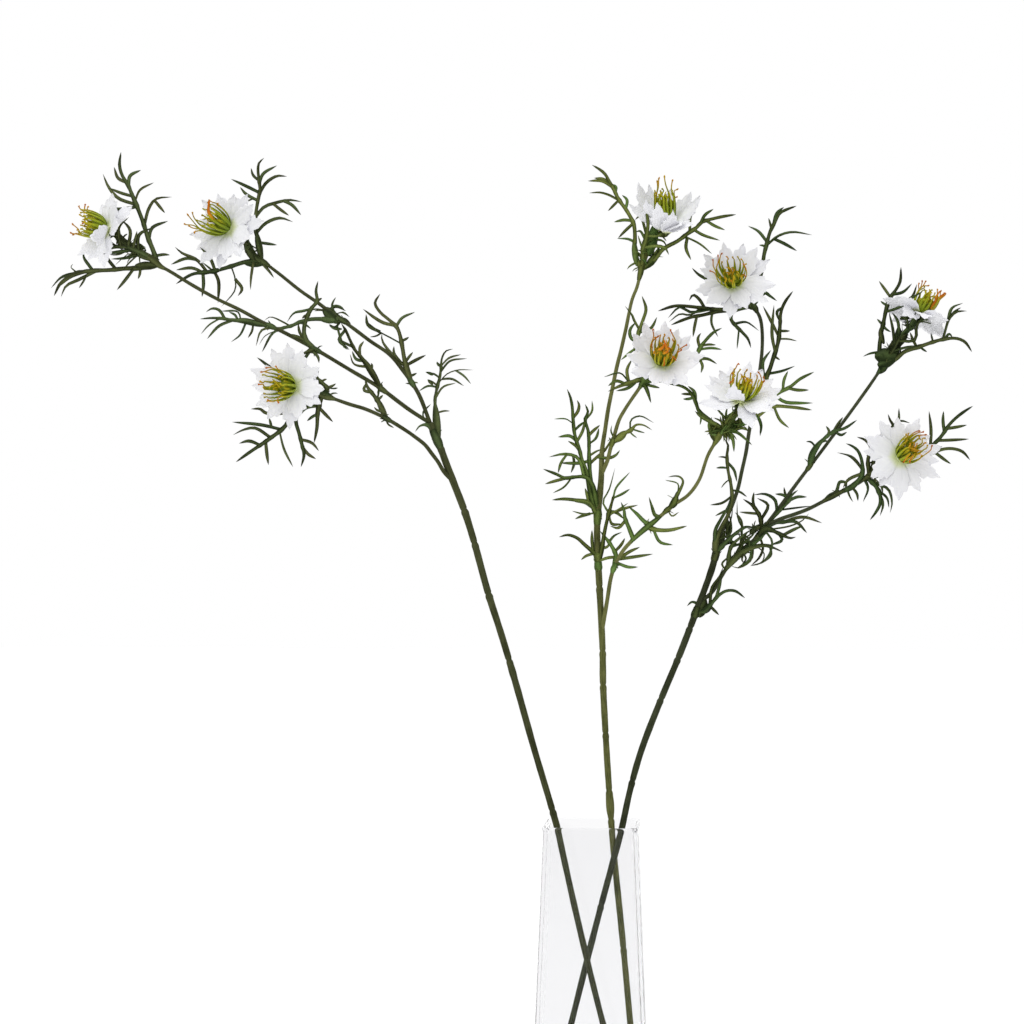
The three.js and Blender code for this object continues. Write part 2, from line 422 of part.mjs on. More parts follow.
      blades: [[757, 546, 764, 553, 762, 562, 750, 566], [770, 547, 771, 555, 761, 564],
        [752, 549, 749, 560, 737, 568], [744, 552, 742, 560, 744, 563], [750, 549, 748, 538, 742, 534]]},
  ]},
  right_leaf_4: {on: 'right_branch_2', twigs: [
    {lean: -12, line: [758, 538, 766, 529, 780, 534, 790, 538, 796, 537],
      blades: [[770, 529, 790, 526, 803, 520, 809, 513], [783, 535, 795, 529, 803, 526],
        [778, 535, 782, 540, 771, 545]]},
    {lean: 14, line: [760, 536, 770, 524, 783, 522, 796, 522, 807, 533],
      blades: [[783, 522, 803, 517, 822, 523]]},
    {lean: -5, line: [764, 532, 760, 517, 753, 506, 743, 499],
      blades: [[758, 514, 749, 513, 739, 512], [755, 508, 753, 501, 754, 492],
        [762, 520, 768, 505, 757, 498]]},
    {lean: 7, line: [766, 531, 778, 512, 787, 503, 792, 495, 798, 490],
      blades: [[788, 501, 797, 497, 807, 497], [789, 499, 783, 495, 775, 494],
        [787, 500, 785, 493, 784, 487], [777, 513, 775, 500, 765, 494, 753, 495],
        [781, 511, 795, 508, 811, 506]]},
  ]},
  right_leaf_5: {on: 'right_branch_2', twigs: [
    {lean: -8, line: [809, 466, 812, 455, 818, 445, 825, 438, 833, 432, 845, 428, 857, 420],
      blades: [[815, 447, 811, 442, 806, 441.5], [828, 437, 829, 431, 826, 426],
        [833, 432, 838, 424, 843, 417], [835, 432, 841, 435, 847, 432], [820, 443, 824, 441, 828, 441]]},
  ]},
  right_leaf_6: {on: 'right_branch_3', twigs: [
    {lean: -7, line: [843, 492, 853, 486, 862, 474, 862, 462, 858, 451, 852, 446, 846, 443.5],
      blades: [[862, 470, 856, 461, 850, 456, 837, 452.5], [861, 473, 848, 480, 843, 488],
        [847, 489, 850, 497, 853, 502], [852, 487, 857, 494, 858, 501], [862, 475, 868, 488, 863, 502]]},
    {lean: 5, line: [826, 500, 836, 492, 840, 482, 846, 483, 845, 490],
      blades: []},
  ]},
  right_leaf_7: {on: 'right_branch_1', twigs: [
    {lean: -9, line: [757, 392, 762, 384, 769, 371, 773, 359, 777, 347, 779, 337, 780, 325, 781, 312,
        785, 302, 793, 291],
      blades: [[779, 339, 788, 339, 797, 341], [780, 331, 785, 331, 790, 331],
        [779, 337, 773, 325, 763, 306], [775, 352, 772, 335, 774, 305], [768, 374, 782, 371, 795, 366],
        [774, 356, 777, 358, 780, 360], [780, 322, 777, 312, 784, 306], [764, 380, 763, 362, 771, 350]]},
  ]},
};

// ---- From the elevation to the model ----

// A drawn point goes back along its sight line to its real depth, and the whole view is
// turned about the vase's axis.
function place([across, down, back]) {
  const spread = 1 + back / EYE.distance;
  const right = SQUARE * (EYE.across - AXIS_ACROSS + (across - EYE.across) * spread);
  const up = SQUARE * (FOOT_DOWN - EYE.down - (down - EYE.down) * spread);
  return turned([right, back, up]);
}

function turned(vector) {
  return new THREE.Vector3(...vector).applyAxisAngle(new THREE.Vector3(0, 0, 1), VIEW_TURN);
}

function direction(vector) {
  return turned(vector).normalize();
}

function pairs(flat) {
  const points = [];
  for (let i = 0; i < flat.length; i += 2) points.push([flat[i], flat[i + 1]]);
  return points;
}

function drawnLengths(points) {
  const lengths = [0];
  for (let i = 1; i < points.length; i++) {
    const [a, b] = [points[i - 1], points[i]];
    lengths.push(lengths[i - 1] + Math.hypot(b[0] - a[0], b[1] - a[1]));
  }
  return lengths;
}

// Drawn points with a depth each, which runs evenly from one end of the line to the other.
function withDepth(points, first, last) {
  const lengths = drawnLengths(points);
  const total = lengths.at(-1);
  return points.map(([across, down], i) => [across, down, first + (last - first) * lengths[i] / total]);
}

// The point of some drawn lines that lies nearest to (across, down), with its depth.
function nearestOn(lines, [across, down]) {
  let best = null;
  let bestDistance = Infinity;
  for (const line of lines) {
    for (let i = 1; i < line.length; i++) {
      const [a, b] = [line[i - 1], line[i]];
      const [dx, dy] = [b[0] - a[0], b[1] - a[1]];
      const along = ((across - a[0]) * dx + (down - a[1]) * dy) / (dx * dx + dy * dy);
      const t = THREE.MathUtils.clamp(along, 0, 1);
      const point = a.map((value, k) => value + (b[k] - value) * t);
      const distance = Math.hypot(point[0] - across, point[1] - down);
      if (distance < bestDistance) [best, bestDistance] = [point, distance];
    }
  }
  return best;
}

// The drawn line as a few straight stretches of equal length.
function inStretches(points, count) {
  const corners = points.map((point) => new THREE.Vector3(...point));
  const curve = new THREE.CatmullRomCurve3(corners, false, 'centripetal');
  return curve.getSpacedPoints(count).map((p) => p.toArray());
}

// ---- Solids ----

const SAME_POINT = 1e-5; // mm

function toSolid(geometry) {
  const bare = new THREE.BufferGeometry();
  bare.setAttribute('position', geometry.getAttribute('position'));
  if (geometry.index) bare.setIndex(geometry.index);
  const merged = mergeVertices(bare, SAME_POINT);
  return new wasm.Manifold(new wasm.Mesh({
    numProp: 3,
    vertProperties: new Float32Array(merged.getAttribute('position').array),
    triVerts: new Uint32Array(merged.index.array),
  }));
}

function toGeometry(solid) {
  const mesh = solid.getMesh();
  const geometry = new THREE.BufferGeometry();
  geometry.setAttribute('position', new THREE.BufferAttribute(mesh.vertProperties, 3));
  geometry.setIndex(new THREE.BufferAttribute(mesh.triVerts, 1));
  geometry.computeVertexNormals();
  return geometry;
}

function joined(solids) {
  return solids.reduce((whole, solid) => whole.add(solid));
}

function biggestPiece(solid) {
  return solid.decompose().reduce((a, b) => (a.volume() > b.volume() ? a : b));
}

function valueAt(table, t) {
  for (let i = 1; i < table.length; i++) {
    const [[t0, v0], [t1, v1]] = [table[i - 1], table[i]];
    if (t <= t1) return v0 + (v1 - v0) * (t - t0) / (t1 - t0);
  }
  return table.at(-1)[1];
}

// How far a prism's corners move out when its faces move out by `grow`.
function cornerGrowth(grow, sides) {
  return grow / Math.cos(Math.PI / sides);
}

// A rod along a line: a thin section is swept along it, and each of its rings is then
// opened out from its centre to the rod's radius there. `grow` swells it on all sides.
function rod(points, radii, { sides, steps, grow }) {
  const seed = 0.05;
  const path = new THREE.CatmullRomCurve3(points, false, 'centripetal');
  const section = new THREE.Shape();
  for (let i = 0; i < sides; i++) {
    const angle = 2 * Math.PI * i / sides;
    const corner = [seed * Math.cos(angle), seed * Math.sin(angle)];
    if (i === 0) section.moveTo(...corner);
    else section.lineTo(...corner);
  }
  const geometry = new THREE.ExtrudeGeometry(section, { extrudePath: path, steps, bevelEnabled: false });
  const centres = path.getSpacedPoints(steps);
  const shifts = centres.map(() => new THREE.Vector3());
  shifts[0].copy(path.getTangent(0)).multiplyScalar(-grow);
  shifts[steps].copy(path.getTangent(1)).multiplyScalar(grow);
  const position = geometry.getAttribute('position');
  const point = new THREE.Vector3();
  for (let i = 0; i < position.count; i++) {
    point.fromBufferAttribute(position, i);
    let ring = 0;
    centres.forEach((centre, k) => {
      if (centre.distanceToSquared(point) < centres[ring].distanceToSquared(point)) ring = k;
    });
    const radius = valueAt(radii, ring / steps) + cornerGrowth(grow, sides);
    point.sub(centres[ring]).multiplyScalar(radius / seed).add(centres[ring]).add(shifts[ring]);
    position.setXYZ(i, ...point.toArray());
  }
  return toSolid(geometry);
}

// A block with rounded corners whose half width follows a table of [height, half width].
function taperedBlock(halfWidths, corner) {
  const h = halfWidths[0][1];
  const outline = new THREE.Shape();
  outline.moveTo(-h + corner, -h);
  outline.lineTo(h - corner, -h).absarc(h - corner, corner - h, corner, -Math.PI / 2, 0);
  outline.lineTo(h, h - corner).absarc(h - corner, h - corner, corner, 0, Math.PI / 2);
  outline.lineTo(corner - h, h).absarc(corner - h, h - corner, corner, Math.PI / 2, Math.PI);
  outline.lineTo(-h, corner - h).absarc(corner - h, corner - h, corner, Math.PI, 1.5 * Math.PI);
  const steps = halfWidths.length - 1;
  const settings = { depth: steps, steps, bevelEnabled: false, curveSegments: 3 };
  const geometry = new THREE.ExtrudeGeometry(outline, settings);
  const position = geometry.getAttribute('position');
  for (let i = 0; i < position.count; i++) {
    const [height, half] = halfWidths[Math.round(position.getZ(i))];
    const scale = half / h;
    position.setXYZ(i, position.getX(i) * scale, position.getY(i) * scale, height);
  }
  return toSolid(geometry);
}

// ---- The vase ----

function vase(grow) {
  const { height, foot, rim, wall, floor, corner, chamfer, lip, lipHeight } = VASE;
  const half = (z) => (foot + (rim - foot) * z / height) / 2;
  const shoulder = height - lipHeight;
  const outside = taperedBlock([
    [0, half(0) - chamfer], [chamfer, half(chamfer)], [shoulder, half(shoulder)], [height, half(height) + lip],
  ], corner);
  const innerHalf = (z) => half(z) - wall - grow;
  const aboveRim = height + 1;
  const inside = taperedBlock([
    [floor + grow, innerHalf(floor)], [shoulder, innerHalf(shoulder)], [aboveRim, innerHalf(height) + lip],
  ], corner - wall);
  return outside.subtract(inside);
}

// ---- Stems ----

// A stem's drawn line. A branch starts on the middle line of the stem that it springs from.
function stemLine(name) {
  const { from, back, route } = STEMS[name];
  if (!from) return withDepth(pairs(route), ...back);
  const root = nearestOn([stemLine(from)], route);
  return withDepth([root.slice(0, 2), ...pairs(route).slice(1)], root[2], back);
}

function stem(name, grow) {
  const line = stemLine(name);
  const steps = Math.max(5, Math.round(drawnLengths(line).at(-1) / STRETCH));
  const radii = STEMS[name].thick.map(([where, diameter]) => [where, diameter / 2]);
  return rod(line.map(place), radii, { sides: 6, steps, grow });
}

// ---- Leaves ----

// One twig. Its rib springs from the drawn line `base`; a thread leaf springs from the rib or
// from an earlier leaf, and they swing by turns to the front and to the back.
// On a sleeve it starts in the sleeve's wall.
function twig({ lean, line, blades }, base, sleeve, grow) {
  const ribPoints = pairs(line);
  const root = nearestOn([base], ribPoints[0]);
  const ribLine = withDepth([root.slice(0, 2), ...ribPoints.slice(1)], root[2], root[2] + lean);
  const rib = inStretches(ribLine, Math.min(3, ribPoints.length));
  const ribCentres = rib.map(place);
  if (sleeve) {
    const outward = ribCentres[1].clone().sub(ribCentres[0]).projectOnPlane(sleeve.axis);
    ribCentres[0].add(outward.setLength(sleeve.radius - COLLAR.wall / 2));
  }
  const drawn = [rib];
  const radii = [[0, TWIG.root], [1, TWIG.tip]];
  const solids = [rod(ribCentres, radii, { sides: 3, steps: rib.length - 1, grow })];
  blades.forEach((blade, i) => {
    const points = pairs(blade);
    const reach = SQUARE * drawnLengths(points).at(-1);
    if (reach < THREAD.shortest) return;
    const foot = nearestOn(drawn, points[0]);
    const tipBack = foot[2] + reach * THREAD.swings[i % THREAD.swings.length];
    const bladeLine = withDepth([foot.slice(0, 2), ...points.slice(1)], foot[2], tipBack);
    const stretches = inStretches(bladeLine, reach < THREAD.straightBelow ? 1 : 2);
    drawn.push(stretches);
    solids.push(thread(stretches.map(place), grow));
  });
  return joined(solids);
}

// A thread leaf: a straight spike, or a rod with one bend.
function thread(points, grow) {
  if (points.length > 2) {
    return rod(points, [[0, THREAD.root], [1, THREAD.tip]], { sides: 3, steps: 2, grow });
  }
  const along = points[1].clone().sub(points[0]);
  const length = along.length();
  const spike = new THREE.ConeGeometry(THREAD.root + cornerGrowth(grow, 3), length + 2 * grow, 3);
  spike.translate(0, length / 2, 0);
  const up = new THREE.Vector3(0, 1, 0);
  spike.applyQuaternion(new THREE.Quaternion().setFromUnitVectors(up, along.normalize()));
  return toSolid(spike.translate(...points[0].toArray()));
}

// Where a sprig's sleeve clasps its stem: the stretch that the twigs leave from.
function sleeveOf(name, twigs) {
  const steps = 200;
  const line = inStretches(stemLine(name), steps).map(place);
  const roots = twigs.map(({ line: [across, down] }) => {
    const root = place(nearestOn([stemLine(name)], [across, down]));
    const distances = line.map((point) => point.distanceTo(root));
    return distances.indexOf(Math.min(...distances));
  });
  const margin = Math.ceil(COLLAR.overhang / line[0].distanceTo(line[1]));
  const low = Math.max(0, Math.min(...roots) - margin);
  const high = Math.min(steps, Math.max(...roots) + margin);
  const stemRadius = valueAt(STEMS[name].thick, (low + high) / 2 / steps) / 2;
  const axis = line[high].clone().sub(line[low]).normalize();
  return { ends: [line[low], line[high]], axis, radius: stemRadius + GAP + COLLAR.wall };
}

function leaf({ on, twigs }, grow) {
  const base = stemLine(on);
  const sleeve = sleeveOf(on, twigs);
  const collar = rod(sleeve.ends, [[0, sleeve.radius], [1, sleeve.radius]], { sides: 6, steps: 1, grow });
  return joined([collar, ...twigs.map((one) => twig(one, base, sleeve, grow))]);
}

// ---- Flowers ----

// The drawn line of a flower's stalk, from the end of its branch to its hub.
function stalkLine({ branch, stalk, hub }) {
  const end = stemLine(branch).at(-1);
  return withDepth([end.slice(0, 2), ...pairs(stalk), hub.slice(0, 2)], end[2], hub[2]);
}

// The stalk sleeves the end of the branch, swells at the leaf node and flares below the petals.
function stalk(flower, grow) {
  const hub = place(flower.hub);
  const face = direction(flower.face);
  const branch = stemLine(flower.branch).map(place);
  const sleeve = branch.at(-2).clone().sub(branch.at(-1)).setLength(STALK.sleeve).add(branch.at(-1));
  const seat = hub.clone().addScaledVector(face, -PETALS.spread / 2 - GAP);
  const neck = seat.clone().addScaledVector(face, -STALK.neck);
  const points = [sleeve, ...stalkLine(flower).slice(0, -1).map(place), neck, seat];
  return rod(points, STALK.radii, { sides: 6, steps: 7, grow });
}

function frill(flower, twigs, grow) {
  const base = stalkLine(flower);
  return joined([stalk(flower, grow), ...twigs.map((one) => twig(one, base, null, grow))]);
}

// A frame at `origin` whose Z looks along `axis`, turned about it.
function frameAlong(origin, axis, turnDegrees) {
  const x = new THREE.Vector3(0, 0, 1).cross(axis).normalize();
  const y = axis.clone().cross(x);
  const spin = new THREE.Matrix4().makeRotationZ(THREE.MathUtils.degToRad(turnDegrees));
  return new THREE.Matrix4().makeBasis(x, y, axis).setPosition(origin).multiply(spin).elements;
}

// One whorl of petals: a star with a flat middle, and its points bent up into a cup.
function whorl(turn, height, grow) {
  const { count, length, notchRadius, thickness, cupping } = PETALS;
  const outline = [];
  for (let i = 0; i < 2 * count; i++) {
    const angle = turn + i * Math.PI / count;
    const radius = (i % 2 === 0 ? length : notchRadius) + grow;
    outline.push(new THREE.Vector2(radius * Math.cos(angle), radius * Math.sin(angle)));
  }
  const depth = thickness + 2 * grow;
  const geometry = new THREE.ExtrudeGeometry(new THREE.Shape(outline), { depth, bevelEnabled: false });
  const position = geometry.getAttribute('position');
  for (let i = 0; i < position.count; i++) {
    const radius = Math.hypot(position.getX(i), position.getY(i));
    const rise = radius > notchRadius + 2 * grow ? cupping * (radius ** 2 - notchRadius ** 2) : 0;
    position.setZ(i, position.getZ(i) + height - depth / 2 + rise);
  }
  return toSolid(geometry);
}

// Two whorls, one above the other, joined by a hub disc between them.
function corolla(flower, grow) {
  const offset = (PETALS.spread - PETALS.thickness) / 2;
  const disc = new THREE.CylinderGeometry(PETALS.hubRadius + grow, PETALS.hubRadius + grow, 2 * offset, 6);
  const lower = whorl(0, -offset, grow);
  const upper = whorl(Math.PI / PETALS.count, offset, grow);
  const solids = [toSolid(disc.rotateX(Math.PI / 2)), lower, upper];
  return joined(solids).transform(frameAlong(place(flower.hub), direction(flower.face), flower.turn));
}

// The ovary with the stamens round it, which curve like the ribs of a lantern.
function stamens(flower, grow) {
  const { count, thickness, length, rootRadius, bellyRadius, tipRadius, bellyHeight } = STAMENS;
  const radii = [[0, thickness / 2], [0.5, thickness / 2], [1, thickness / 5]];
  const profile = [
    new THREE.Vector2(0, -OVARY.radius - grow),
    new THREE.Vector2(OVARY.radius + grow, 0),
    new THREE.Vector2(0, OVARY.length + grow),
  ];
  const solids = [toSolid(new THREE.LatheGeometry(profile, 6).rotateX(Math.PI / 2))];
  for (let i = 0; i < count; i++) {
    const angle = 2 * Math.PI * i / count;
    const at = (radius, z) => new THREE.Vector3(radius * Math.cos(angle), radius * Math.sin(angle), z);
    const line = [at(rootRadius, 0), at(bellyRadius, bellyHeight * length), at(tipRadius, length)];
    solids.push(rod(line, radii, { sides: 3, steps: 2, grow }));
  }
  const face = direction(flower.face);
  const foot = place(flower.hub).addScaledVector(face, PETALS.spread / 2 + GAP + OVARY.radius);
  return joined(solids).transform(frameAlong(foot, direction(flower.cup), flower.turn));
}

// ---- Assembly ----

const FINISH = {
  glass: { color: 0xe8edee, roughness: 0.05, metalness: 0 },
  left_stem: { color: 0x41502c, roughness: 0.6, metalness: 0 },
  middle_stem: { color: 0x6a6b35, roughness: 0.6, metalness: 0 },
  right_stem: { color: 0x303a25, roughness: 0.6, metalness: 0 },
  left_leaf: { color: 0x3f5a2c, roughness: 0.65, metalness: 0 },
  middle_leaf: { color: 0x4f7a32, roughness: 0.65, metalness: 0 },
  right_leaf: { color: 0x2f4426, roughness: 0.65, metalness: 0 },
  petal: { color: 0xeeeef2, roughness: 0.85, metalness: 0 },
  stamen: { color: 0x9aa52c, roughness: 0.6, metalness: 0 },
};

const group = new THREE.Group();
const placed = []; // swollen solids of the pieces already in the group

// Puts a piece in the group, cut back to GAP where it would touch an earlier piece.
// `shape` makes the piece's solid, swollen on all sides by its argument.
function add(name, finish, shape) {
  const free = placed.reduce((solid, swollen) => solid.subtract(swollen), shape(0));
  placed.push(shape(GAP));
  const material = new THREE.MeshStandardMaterial(FINISH[finish]);
  const mesh = new THREE.Mesh(toGeometry(biggestPiece(free)), material);
  mesh.name = name;
  group.add(mesh);
}

const spray = (name) => name.split('_')[0];

add('vase', 'glass', (grow) => vase(grow));
for (const name of Object.keys(STEMS)) {
  add(name, `${spray(name)}_stem`, (grow) => stem(name, grow));
}
for (const [name, flower] of Object.entries(FLOWERS)) {
  add(`${name}_petals`, 'petal', (grow) => corolla(flower, grow));
  add(`${name}_stamens`, 'stamen', (grow) => stamens(flower, grow));
}
for (const [name, flower] of Object.entries(FLOWERS)) {
  const twigs = FRILLS[name.replace('flower', 'frill')];
  add(`${name}_frill`, `${spray(name)}_leaf`, (grow) => frill(flower, twigs, grow));
}
for (const [name, sprig] of Object.entries(LEAVES)) {
  add(name, `${spray(name)}_leaf`, (grow) => leaf(sprig, grow));
}

export default group;
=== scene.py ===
"""Three sprays of love-in-a-mist in a tall square glass vase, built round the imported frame.

Shapes are worked out in millimetres as numpy arrays and put into meshes in metres. The stems
and leaves follow a layout that is drawn on an elevation with squares of 0.72 mm, as seen by an
eye in front of the vase. A drawn point is (across, down, back), and `back` is how far it lies
behind the plane through the middle of the vase, in millimetres.
"""

import math

import bpy
import numpy as np
from bpy.props import FloatProperty, FloatVectorProperty, IntProperty, PointerProperty
from bpy.types import Operator, Panel, PropertyGroup
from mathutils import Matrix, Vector


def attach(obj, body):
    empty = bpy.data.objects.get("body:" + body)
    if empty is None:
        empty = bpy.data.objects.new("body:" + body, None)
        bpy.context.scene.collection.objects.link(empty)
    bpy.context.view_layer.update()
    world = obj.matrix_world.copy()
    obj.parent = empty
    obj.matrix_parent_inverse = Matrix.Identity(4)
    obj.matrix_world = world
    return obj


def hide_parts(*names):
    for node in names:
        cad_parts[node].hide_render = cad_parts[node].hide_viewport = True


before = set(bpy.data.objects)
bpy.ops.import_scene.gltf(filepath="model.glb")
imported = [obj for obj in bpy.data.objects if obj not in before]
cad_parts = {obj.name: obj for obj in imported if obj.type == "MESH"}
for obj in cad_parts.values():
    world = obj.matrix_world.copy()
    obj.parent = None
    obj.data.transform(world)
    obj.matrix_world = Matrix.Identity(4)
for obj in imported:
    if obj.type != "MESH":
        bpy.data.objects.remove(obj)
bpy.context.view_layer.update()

bl_info = {
    "name": "Love-in-a-mist in a vase",
    "version": (1, 0, 0),
    "blender": (4, 5, 0),
    "location": "View3D > Sidebar > Mist",
    "description": "Builds sprays of love-in-a-mist and the glass vase that holds them",
    "category": "Add Mesh",
}

MM_PER_METRE = 1000

# ---- The elevation ----

SQUARE = 0.72  # mm, the side of a square
AXIS_ACROSS = 592  # where the vase's axis stands
FOOT_DOWN = 1163  # where the vase's underside lies
EYE_ACROSS = 512
EYE_DOWN = 512
EYE_DISTANCE = 1865  # mm, to the plane through the vase's middle
VIEW_TURN = math.radians(4.5)  # the elevation is turned from the vase's front

# ---- Layout ----
#
# STEMS: where it springs from, `back` at its tip (or at both ends), diameters as [where along
# it, diameter], and its route as across, down, across, down ...
# FLOWERS: hub as across, down, back, and as right, back, up the way its petals look, `face`,
# and the way its stamens look, `cup`.
# FRILLS and LEAVES: twigs, each with a rib that leans back by `lean`, and its thread leaves.

STEMS = {
  "left_stem": {"back": [-4, -12], "thick": [[0, 4.2], [1, 5.2]],
      "route": [637, 1146, 603, 1024, 587, 960, 573, 900, 562, 850, 557.5, 829, 552, 809, 533, 745,
      515, 681, 502, 637, 488, 593, 474, 542, 464, 510, 454, 484, 447, 466, 440, 447, 434, 433, 430,
      423]},
  "left_branch_1": {"from": "left_stem", "back": -42, "thick": [[0, 3], [1, 2.4]],
      "route": [428, 421, 411, 411, 400, 403, 380, 388, 350, 370, 320, 352, 300, 341, 281, 331, 262, 322,
      240, 310, 217, 299, 192, 285, 170, 271.5, 160, 266]},
  "left_branch_2": {"from": "left_stem", "back": 14, "thick": [[0, 3], [1, 2.4]],
      "route": [429, 416, 418, 393, 404, 372, 390, 355, 370, 341, 350, 326, 330, 312, 318, 303, 300,
          290.5,
      280, 274.5, 265, 263]},
  "left_branch_3": {"from": "left_stem", "back": -52, "thick": [[0, 2.9], [1, 2.5]],
      "route": [449, 483, 444, 472, 438, 462, 432, 454, 425, 445, 415, 437, 405, 430, 385, 418, 365, 409,
      350, 404.5, 330, 397.5]},
  "middle_stem": {"back": [16, 36], "thick": [[0, 4.4], [0.74, 4.9], [0.8, 3.2], [1, 2.4]],
      "route": [641, 1138, 630.3, 1024, 623.5, 950, 618.5, 900, 613.5, 850, 611.7, 829, 609, 790,
      605.5, 734, 603, 684, 602.5, 651, 600, 600, 598, 560, 597, 530, 598.5, 506, 601, 480, 602, 450,
      605, 430, 608, 410, 612, 390, 617, 366, 621, 350, 626, 328, 632, 300, 637, 287, 640, 275]},
  "middle_branch_1": {"from": "middle_stem", "back": 10, "thick": [[0, 3], [1, 2.5]],
      "route": [604, 475, 607.5, 460, 610, 450, 613, 440, 619, 420, 624.5, 410, 631, 400, 638, 390,
          642, 384]},
  "middle_branch_2": {"from": "middle_stem", "back": -8, "thick": [[0, 3.1], [1, 2.4]],
      "route": [604, 632, 607, 601, 611, 577, 615, 565, 619, 557, 625, 548, 640, 533, 656, 520, 672, 506,
      688, 495, 699, 480, 708, 455, 716, 441]},
  "right_stem": {"back": [-20, 60], "thick": [[0, 4.4], [1, 4.9]],
      "route": [540, 1152, 571, 1024, 577, 1000, 587, 960, 602.5, 900, 616, 850, 621.5, 829, 630, 790,
      641, 751, 661, 699, 679, 656, 697, 609, 711, 571, 717, 550]},
  "right_branch_1": {"from": "right_stem", "back": 84, "thick": [[0, 3], [1, 2.5]],
      "route": [720, 541, 726, 520, 733, 503, 738, 488, 742, 470, 746, 452, 749, 432, 755, 400, 760, 368,
      762, 350, 762, 330, 760, 318, 755, 308]},
  "right_branch_2": {"from": "right_stem", "back": 92, "thick": [[0, 3], [1, 2.4]],
      "route": [703, 604, 712, 592, 721, 577, 728, 566, 743, 549, 757, 537, 766, 525, 781, 505, 800, 479,
      820, 453, 832, 437, 852, 410, 872, 382, 880, 370]},
  "right_branch_3": {"from": "right_branch_2", "back": 62, "thick": [[0, 3], [1, 2.5]],
      "route": [766, 526, 780, 519, 795, 514, 808, 509, 820, 503, 833, 496, 845, 490, 857, 484, 866,
          478]},
}
FLOWERS = {
  "left_flower_1": {"branch": "left_branch_1", "hub": [107, 229, -50], "face": [-0.8, -0.48, 0.36],
    "cup": [-0.95, -0.2, 0.24], "stalk": [152, 259, 140, 251, 127, 243]},
  "left_flower_2": {"branch": "left_branch_2", "hub": [229, 229, 0], "face": [-0.5, -0.82, 0.27],
    "cup": [-0.77, -0.46, 0.44], "stalk": [257, 258, 249, 248]},
  "left_flower_3": {"branch": "left_branch_3", "hub": [293, 387, -64], "face": [-0.36, -0.93, 0.06],
    "cup": [-0.72, -0.69, 0.04], "stalk": [322, 395, 312, 391]},
  "middle_flower_1": {"branch": "middle_stem", "hub": [666, 225, 40], "face": [0.04, -0.35, 0.93],
    "cup": [-0.08, -0.3, 0.95], "stalk": [643, 263, 648, 250, 655, 235]},
  "middle_flower_2": {"branch": "middle_branch_1", "hub": [662, 363, -4], "face": [0.05, -0.86, 0.5],
    "cup": [0.1, -0.72, 0.68], "stalk": [644, 376, 648, 366]},
  "middle_flower_3": {"branch": "middle_branch_2", "hub": [742, 400, -20], "face": [0.1, -0.55, 0.83],
    "cup": [0.2, -0.36, 0.91], "stalk": [722, 430, 732, 416]},
  "right_flower_1": {"branch": "right_branch_1", "hub": [733, 284, 72], "face": [-0.06, -0.9, 0.43],
    "cup": [-0.2, -0.76, 0.61], "stalk": [750, 303, 745, 295]},
  "right_flower_2": {"branch": "right_branch_2", "hub": [919, 314, 96], "face": [0.46, 0.12, 0.88],
    "cup": [0.44, -0.12, 0.88], "stalk": [885, 361, 894, 350, 903, 336]},
  "right_flower_3": {"branch": "right_branch_3", "hub": [900, 457, 50], "face": [0.25, -0.95, 0.15],
    "cup": [0.54, -0.69, 0.48], "stalk": [872, 474, 884, 467]},
}
